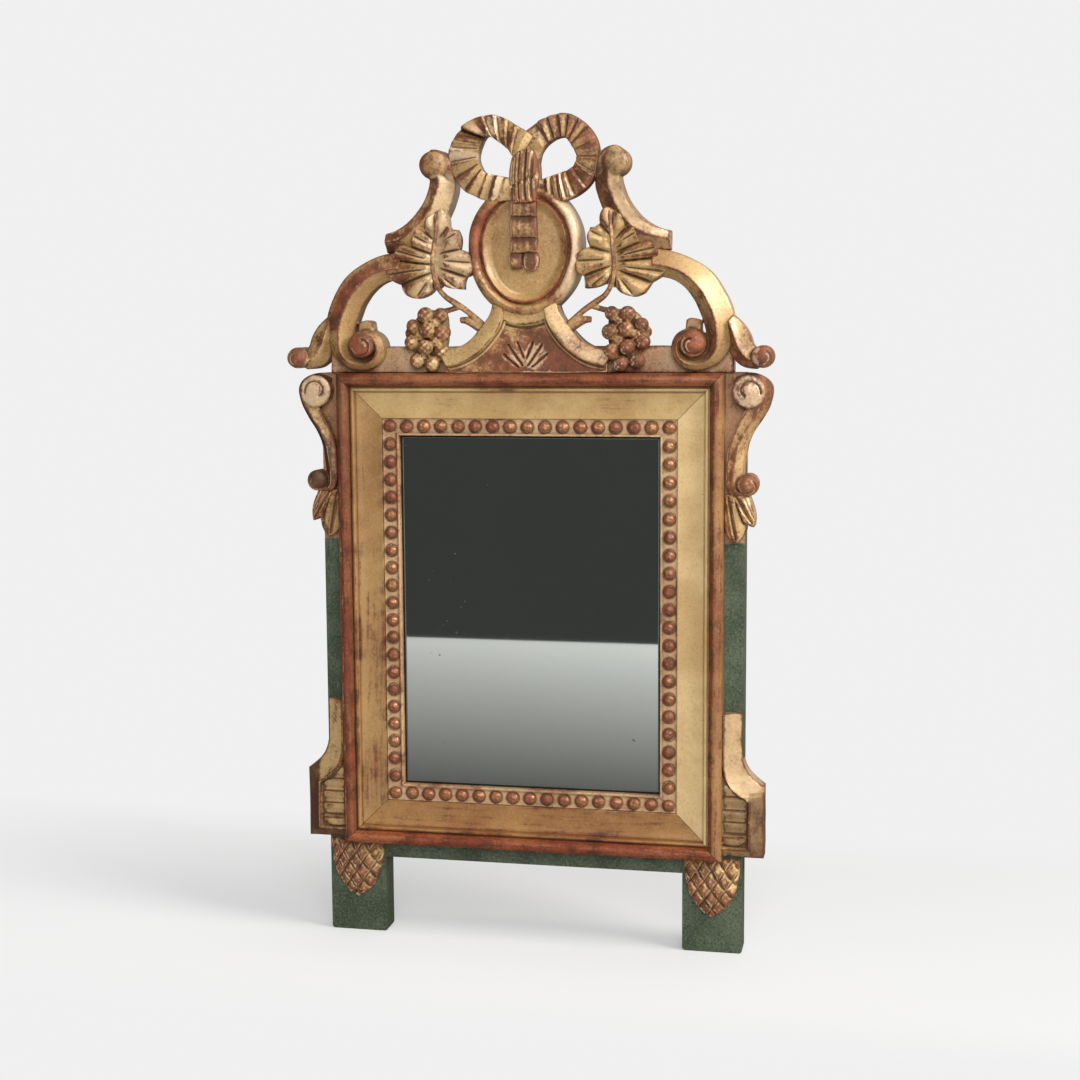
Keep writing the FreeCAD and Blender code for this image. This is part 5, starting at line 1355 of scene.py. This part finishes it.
def leaf_front(x, z, edge):
    before, behind, r = np.full(x.shape, 360.0), np.full(x.shape, 360.0), np.full(x.shape, 99.0)
    for (from_x, from_z), (to_x, to_z) in LEAF_CREASES:
        turn = np.degrees(np.arctan2(z - from_z, x - from_x) - math.atan2(to_z - from_z, to_x - from_x))
        turn = (turn + 180) % 360 - 180
        before = np.where((turn > 0) & (turn < before), turn, before)
        behind = np.where((turn <= 0) & (-turn < behind), -turn, behind)
        r = np.minimum(r, np.hypot(x - from_x, z - from_z))
    share = before / (before + behind)
    lobe = 1 - np.abs(2 * share - 1) ** 2.4
    finger = np.abs(np.sin(share * 2 * math.pi)) ** 0.8
    grown = step_up(r, 0, 9)
    front = 35.4 + grown * (2.6 * lobe + 3.1 * finger * step_up(r, 1, 12)) - 2.4 * step_up(r, 16, 36)
    front -= 1.2 * grown * np.exp(-(np.minimum(share, 1 - share) * r / 2.4) ** 2)
    return soften(np.clip(front, 31, 43.6), edge, 1.0)


def leaf_redder_on_left(x, z, depth):
    """Both leaves are redder on their left."""
    away = x - 77 * np.sign(x)
    return 0.55 * step_up(-away, 6, 26) * (1 - step_up(z, 290, 306)) - 0.32


pair("vine_leaf", lambda: [relief(LEAF, 26.0, leaf_front, 0.9)], 16, worn=leaf_redder_on_left,
     pale=lambda x, z, depth: 0.5 * (x < 0) * step_up(x, -94, -80))

# %% Stems
STEM = ((69.5, 330.5, 38.5), (71.6, 318, 40.6), (73.2, 300, 42.2), (74.2, 285, 42.6), (72, 271.5, 39.5),
        (66, 262.5, 34.5), (58, 257, 32), (48, 250.5, 31.6), (33, 237, 31))
STEM_R = (1.3, 1.6, 1.8, 1.9, 2, 2.3, 2.7, 2.5, 2.9)
BRANCH = ((54, 254.5, 31), (61, 252.2, 30.5), (70, 250, 29.5))
STUB = ((54.5, 243.2, 29.5), (49, 243, 30), (42, 239.6, 30.3), (34, 233.4, 30.5))


def vine_stem():
    return [rod(STEM, STEM_R, 16, 0.3), rod(BRANCH, (2.6, 2.3, 2.6), 12, 0.2),
            rod(STUB, (2.4, 3.1, 3.6, 3.0), 12, 0.2)]


pair("vine_stem", vine_stem, 18, materials=[red_gilding], fuse=0.6)

# %% Grapes
BERRIES = ((71, 248, 29.5, 6), (84, 247.7, 30.5, 6.5), (95, 238.6, 28.5, 6), (82.5, 235.2, 32, 6.3),
           (69.5, 233.2, 30.5, 6.6), (96, 225.4, 29, 6.4), (84, 221, 33, 6.5), (70.5, 217.3, 31, 6.5),
           (91.5, 210.4, 30, 6.5), (78.5, 208, 31.5, 6.4), (75.5, 226.5, 28, 6), (90, 231, 27.5, 5.9),
           (77, 241.5, 27.5, 5.8), (87, 214.5, 27.5, 5.8), (98, 233, 24.5, 5))


def grapes():
    bunch = smooth_line([(70, 250), (88, 250), (97, 238), (98, 224), (88, 208), (76, 208), (68, 222),
                         (67, 238)], 1.2, True)
    shells = [relief(bunch, 17.0, flat_front(28, 4))]
    for x, z, depth, radius in BERRIES:
        rings = dome(radius, depth, depth + radius, (-75, -60, -45, -30, -15, 0, 15, 30, 45, 58, 70, 80, 86))
        shells.append(turned((x, z), rings, 30))
    return shells


def berry_flats(x, z, depth):
    """The gouge leaves small flats on the berries."""
    return 0.3 * np.sin(x * 1.3 + 1) * np.sin(z * 1.2)


pair("grapes", grapes, 20, berry_flats, materials=[red_gilding], fuse=0.7)

# %% [markdown]
# ## Side scrolls and husks
# An S-shaped scroll is glued to the edge of each stile, with a volute above and a ball below, and a husk
# of two leaves hangs under it. Their backs lie 7 mm from the wall, so that they cover the stile's edge,
# and what lies over the stile is sunk in it.

# %% Side scrolls
SIDE_ARM = ((168, 197.5, 170.5, 184), (176.5, 200.1, 178.5, 189.6), (186.5, 199.4, 184.5, 190.4),
            (194.8, 195, 188, 186.5), (199.3, 187.5, 186.4, 179.5), (197.5, 175.5, 179.4, 172.5),
            (191.5, 163.4, 173, 161.5), (184.5, 152.5, 167.5, 149), (180, 141.9, 164.5, 138.5),
            (178.5, 130, 163.2, 126), (177, 119, 163.5, 112), (175, 110.5, 168, 102.5),
            (176.5, 106.5, 176, 101.5))
SIDE_VOLUTE, SIDE_BALL = (180.6, 185.6), (180.6, 110.4)
SIDE_BACK = 7
SIDE_ROUND = 13.6
SIDE_ARRIS = ((0, .5), (.22, .46), (.36, .36), (.46, .36), (.6, .46), (.75, .56), (.88, .64), (1, .7))


def side_scroll():
    arm = band(SIDE_ARM, SIDE_BACK, ridge_front(17.5, 29.4, 27.4, SIDE_ARRIS, 0.3, 0.8))
    rolled = relief(oval(SIDE_VOLUTE, SIDE_ROUND, SIDE_ROUND, 95), SIDE_BACK,
                    lambda x, z, edge: 28.6 + 3 * np.sqrt(np.clip(edge / SIDE_ROUND, 0, 1)), 0.85)
    return [arm, rolled, ball(SIDE_BALL, 8.8, SIDE_BACK, 27.5, 34.0)]


side_left = left_wear_and_shade(SIDE_ARM, 0.44, 0.9)


def side_wear(x, z, depth):
    """Both volutes keep their leaf."""
    return np.where(mirror_gap(x, z, SIDE_VOLUTE) < SIDE_ROUND - 0.2, -0.4, 0.25)


def side_shade(x, z, depth):
    """Painted shade: the left scroll is dark outside its arris and on its ball, which turn away from the
    light.
    """
    to_ball = np.hypot(x + SIDE_BALL[0] + 3.5, z - SIDE_BALL[1])
    low = np.maximum(side_left(x, z), 0.32 * (1 - step_up(to_ball, 5.5, 9.0)))
    return np.where(mirror_gap(x, z, SIDE_VOLUTE) < SIDE_ROUND - 0.2, 0, low)


def side_cuts(x, z, depth):
    return (spiral_cut(x, z, SIDE_BALL, 8.6, 5.6, 200, 200, 1.6, 0.9)
            + spiral_cut(x, z, SIDE_VOLUTE, 9.8, 5.0, -10, 240, 2.2, 0.8))


pair("side_scroll", side_scroll, 22, side_cuts, materials=[red_gilding], fuse=0.75, worn=side_wear,
     hollow=side_shade,
     pale=lambda x, z, depth: 0.7 * (1 - step_up(mirror_gap(x, z, SIDE_VOLUTE), 11.5, SIDE_ROUND)))

# %% Husks
HUSK = outline((161.7, 103), [(180.5, 103)], [(184.8, 92), (186.3, 84), (185.6, 76.5)],
               [(182, 77.5), (178.6, 80.5)], [(178.9, 73), (175.6, 66), (172.2, 63)],
               [(166.5, 66), (163, 72), (161.7, 82)], [(161.7, 103)], step=0.9)
HUSK_CUTS = (((170.5, 102), (184.5, 79), 2.2, 2.8), ((164.5, 102), (171.5, 65), 1.9, 2.8),
             ((176.5, 103), (185.5, 84), 1.2, 1.4), ((168.5, 103), (177.5, 78), 1.3, 2))


def husk_front(x, z, edge):
    split = 168 + (103 - z) / 25 * 10.6
    front = 26.5 + 2.2 * step_up(edge, 0, 5) + grooves(x, z, HUSK_CUTS)
    front += np.where(x > split, 1.6, 0) * step_up(103 - z, 2, 12)
    return soften(front, edge, 1.0)


pair("side_husk", lambda: [relief(HUSK, SIDE_BACK, husk_front, 0.8)], seed=24)

# %% [markdown]
# ## Corner blocks and pine cones
# The blocks that widen the frame above its feet have a wide bevelled border round a fluted panel. Below
# each, a pine cone is carved on the foot, its scales left standing between two sets of crossing cuts.

# %% Corner blocks
BLOCK_EDGE = outline((177, -77), [(161.7, -77)], [(161.7, -198)], [(195.7, -198)], [(195.6, -138.5)],
                     [(182, -126), (177, -112)], [(177, -77)], step=1)
BLOCK_RIM = outline((161.7, -198), [(195.7, -198)], [(195.6, -138.5)], [(182, -126), (177, -112)],
                    [(177, -77)])
BLOCK_RIDGE = outline((161, -78), [(161, -189.5)], [(183.6, -189.5)], [(183.6, -149.6)],
                      [(167.5, -136), (162.6, -119)], [(162.6, -78)], [(161, -78)], step=1)
FLUTES = (-147.2, -158.1, -168.4, -178)


def block_front(x, z, edge):
    flat = np.stack([x, z], 1)
    rim = edge_distance(flat, BLOCK_RIM, closed=False)
    ridge = edge_distance(flat, BLOCK_RIDGE)
    within = inside(flat, BLOCK_RIDGE)
    share = rim / np.maximum(rim + ridge, 0.01)
    border = 22.8 + 8.0 * (0.55 * share + 0.45 * share ** 2.2)
    panel = 30.8 - 5.6 * step_up(ridge, 0.2, 1.5)
    for level in FLUTES:
        panel -= 1.5 * np.exp(-((z - level) / 0.8) ** 2)
    panel += 0.9 * np.sin((z + 152.6) / 10.4 * 2 * math.pi) * (ridge > 2)
    tongue = np.hypot((x - 170.5) / 11.0, np.maximum(0, -(z + 180.5)) / 8.0)
    panel = np.where((z < -179.4) & (tongue < 1), 25.6 + 2.6 * (1 - tongue ** 3), panel)
    return soften(np.where(within, panel, border), rim, 0.8)


def block_wear_and_shade(x, z, depth):
    """The left block's border shows red bole, and so does the right one's from its shoulder down: partly wear
    and partly painted shade on borders turned from the light.
    """
    border = step_up(np.abs(x), 182, 186) + step_up(-z, 189, 190.5)
    return np.clip(border, 0, 1) * np.where(x < 0, 0.6, 0.55 * (1 - step_up(z, -146, -142)))


def block_shade_and_dirt(x, z, depth):
    """Painted shade on the left block's outer and lower border, on the right block's lower outer border and
    over all of the right block; both blocks are also darker below their shoulders.
    """
    border = step_up(-x, 183, 187) + step_up(-z, 188, 192) * (x < 0)
    right = step_up(x, 182, 185) * (z < -142)
    return 0.8 * np.clip(border, 0, 1) + 0.2 * (z < -146) + 0.25 * right + 0.3 * (x > 0)


pair("corner_block", lambda: [relief(BLOCK_EDGE, SIDE_BACK, block_front, 0.95)], 26, worn=block_wear_and_shade,
     # Painted highlight on the right block's upper slope.
     hollow=block_shade_and_dirt, pale=lambda x, z, depth: 0.3 * step_up(z, -146, -140) * (x > 0))

# %% Pine cones
CONE_X, CONE_TOP, CONE_LOW = 153.05, -200.35, -251.05
CONE = outline((CONE_X - 23, CONE_TOP), [(CONE_X - 23, CONE_TOP - 10), (CONE_X - 21.8, -219.6)],
               [(CONE_X - 14.7, -238.9), (CONE_X, CONE_LOW)],
               [(CONE_X + 14.7, -238.9), (CONE_X + 21.8, -219.6)],
               [(CONE_X + 23, CONE_TOP - 10), (CONE_X + 23, CONE_TOP)], [(CONE_X - 23, CONE_TOP)],
               step=0.9)
SCALE_W, SCALE_H = 11.6, 16.5


def cone_front(x, z, edge):
    body = FACE + 8.4 * np.sqrt(np.clip(step_up(edge, -2, 17), 0, 1))
    a = (x - CONE_X) / SCALE_W + (z - CONE_LOW) / SCALE_H
    b = (x - CONE_X) / SCALE_W - (z - CONE_LOW) / SCALE_H
    # A mark between 0 and 1 that differs from scale to scale.
    mark = np.sin(np.round(a) * 12.99 + np.round(b) * 78.23) * 43758.5
    mark = mark - np.floor(mark)
    a, b = a - np.round(a), b - np.round(b)
    rise = 1 - 2 * np.maximum(np.abs(a), np.abs(b))
    down = (1 - (a - b)) / 2
    scale = (4.4 + 1.2 * mark) * down ** 0.9 * np.clip(rise * 1.9, 0, 1) ** 0.75
    return soften(np.minimum(body + scale - 0.6, 33.8), edge, 1.0)


pair("pinecone", lambda: [relief(CONE, FACE, cone_front, 0.8)], 28, worn=lambda x, z, depth: 0.42)

# %% [markdown]
# ## The joinery and the glass
# The stiles, rails, boards, pegs and iron keep their CAD shape. A small Bevel modifier takes the sharpness
# off their edges, which is enough for planed wood, and each gets its own finish.

# %% Carcase finishes
FINISHES = {
    "stile_left": (stile_green, 1.6), "stile_right": (stile_green, 1.6), "bottom_rail": (rail_green, 1.0),
    "top_rail": (frame_wood, 0.6), "tenon_pegs": (frame_wood, 0.3), "crest_dowels": (frame_wood, 0.3),
    "glazing_blocks": (frame_wood, 0.5), "backboard_upper": (board_wood, 0.5),
    "backboard_lower": (board_wood, 0.5), "backboard_nails": (iron, 0.15), "hanger_strap": (iron, 0.2),
    "hanger_screws": (iron, 0.1), "hanger_ring": (iron, 0.0), "mirror_plate": (mirror_silver, 0.0)}
for node, (material, width) in FINISHES.items():
    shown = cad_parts[node]
    shown.data.materials.clear()
    shown.data.materials.append(material)
    if width:
        bevel = shown.modifiers.new("eased edges", "BEVEL")
        bevel.width, bevel.segments, bevel.limit_method = width * MM, 3, "ANGLE"
        bevel.angle_limit, bevel.harden_normals = math.radians(40), False
print("carcase nodes finished:", len(FINISHES))

# %% [markdown]
# ## Stage and light
# The mirror stands on a pale floor. A key lamp to the right gives the photograph's bright right-hand
# facets, and a large soft one in front fills the rest. The world is white to the camera, and for the gold
# it is brighter to the right and above. Behind the camera it is nearly black, and the upper half of the
# glass reflects that.

# %% Floor and lamps
def lamp(name, place, target, size, power, colour):
    """A round soft lamp that the camera doesn't see."""
    data = bpy.data.lights.new(name, "AREA")
    data.shape, data.size, data.energy, data.color = "DISK", size, power, colour
    made = show(bpy.data.objects.new(name, data))
    way = Vector(target) - Vector(place)
    made.matrix_world = Matrix.Translation(place) @ way.to_track_quat("-Z", "Y").to_matrix().to_4x4()
    made.visible_camera = False


lamp("key", (1.5, -0.5, 0.95), (0, 0, -0.1), 0.8, 33, (1.0, 0.99, 0.97))
lamp("front", (0.7, -2.6, 1.2), (0, 0, -0.15), 1.8, 46, (1.0, 1.0, 1.0))

WHITE, BLACK = (0.871, 0.871, 0.871), (0, 0, 0)
FLOOR_NEAR, FLOOR_FAR = -1.45, 4
floor_corners = [(-FLOOR_FAR, FLOOR_NEAR, FLOOR_Z), (FLOOR_FAR, FLOOR_NEAR, FLOOR_Z),
                 (FLOOR_FAR, FLOOR_FAR, FLOOR_Z), (-FLOOR_FAR, FLOOR_FAR, FLOOR_Z)]
floor_mesh = bpy.data.meshes.new("floor")
floor_mesh.from_pydata(floor_corners, [], [(0, 1, 2, 3)])
floor = show(bpy.data.objects.new("floor", floor_mesh))
print("floor at", round(FLOOR_Z, 4), "and lamps", [light.name for light in bpy.data.lights])


# %% The floor's finish
def seen(ray):
    """1 for rays that come from the camera, and 0 for reflections and shadows."""
    return ray["Is Camera Ray"].larger(ray["Is Transmission Ray"])


pale, tree, shader = finish("pale_floor")
shader["Roughness"].default_value = 0.9
shader["Specular IOR Level"].default_value = 0.0
where, ray = places(tree), add(tree, "LightPath")
spot = parts(where)
length = add(tree, "VectorMath", {0: where}, "Value", operation="LENGTH")
nearer = spot["Y"] * -1.0
# Painted shade in reflections: seen in the glass, the floor is darker near the mirror and lighter further
# forward.
in_glass = add(tree, "MapRange", {"Value": nearer, "From Min": 0.42, "From Max": 1.4, "To Min": 0.06,
                                  "To Max": 0.60})
evened = mix(fade(spot["X"], -0.6, 0.5), (0.94, 0.94, 0.94), (0.69, 0.69, 0.69))
fill(shader["Base Color"], mix(ray["Is Glossy Ray"], evened, mix(in_glass, BLACK, (1.0, 1.0, 0.97))))
far = fade(length, 0.45, 1.0, 0.34, 1.0).larger(fade(spot["Y"], 0.1, 0.36)).larger(fade(nearer, 0.04, 0.24))
glow = add(tree, "Emission", {"Color": WHITE, "Strength": 1.0})
lit = Value(tree.nodes["Principled BSDF"].outputs[0])
fill(tree.nodes["Material Output"].inputs[0], add(tree, "MixShader", {0: far * seen(ray), 1: lit, 2: glow}))
floor_mesh.materials.append(pale)
print("pale floor:", len(tree.nodes), "nodes")

# %% World
world = bpy.data.worlds.new("studio")
bpy.context.scene.world = world
world.use_nodes = True
tree = world.node_tree
backdrop = tree.nodes["Background"].inputs
ray, way = add(tree, "LightPath"), parts(add(tree, "TexCoord", output="Generated"))
level = (way["X"] * 0.30 + way["Z"] * 0.14 + 0.34).larger(0.05)
before = fade(way["Y"] * -1.0, 0.84, 0.93) * ray["Is Glossy Ray"]
room = layered(mix(level, BLACK, (1.0, 1.0, 1.0)), (before, (0.045, 0.048, 0.045)), (seen(ray), WHITE))
fill(backdrop["Color"], room)
backdrop["Strength"].default_value = 1.0
bpy.context.scene.view_settings.view_transform = "Standard"
print("world", world.name, "with", len(tree.nodes), "nodes")
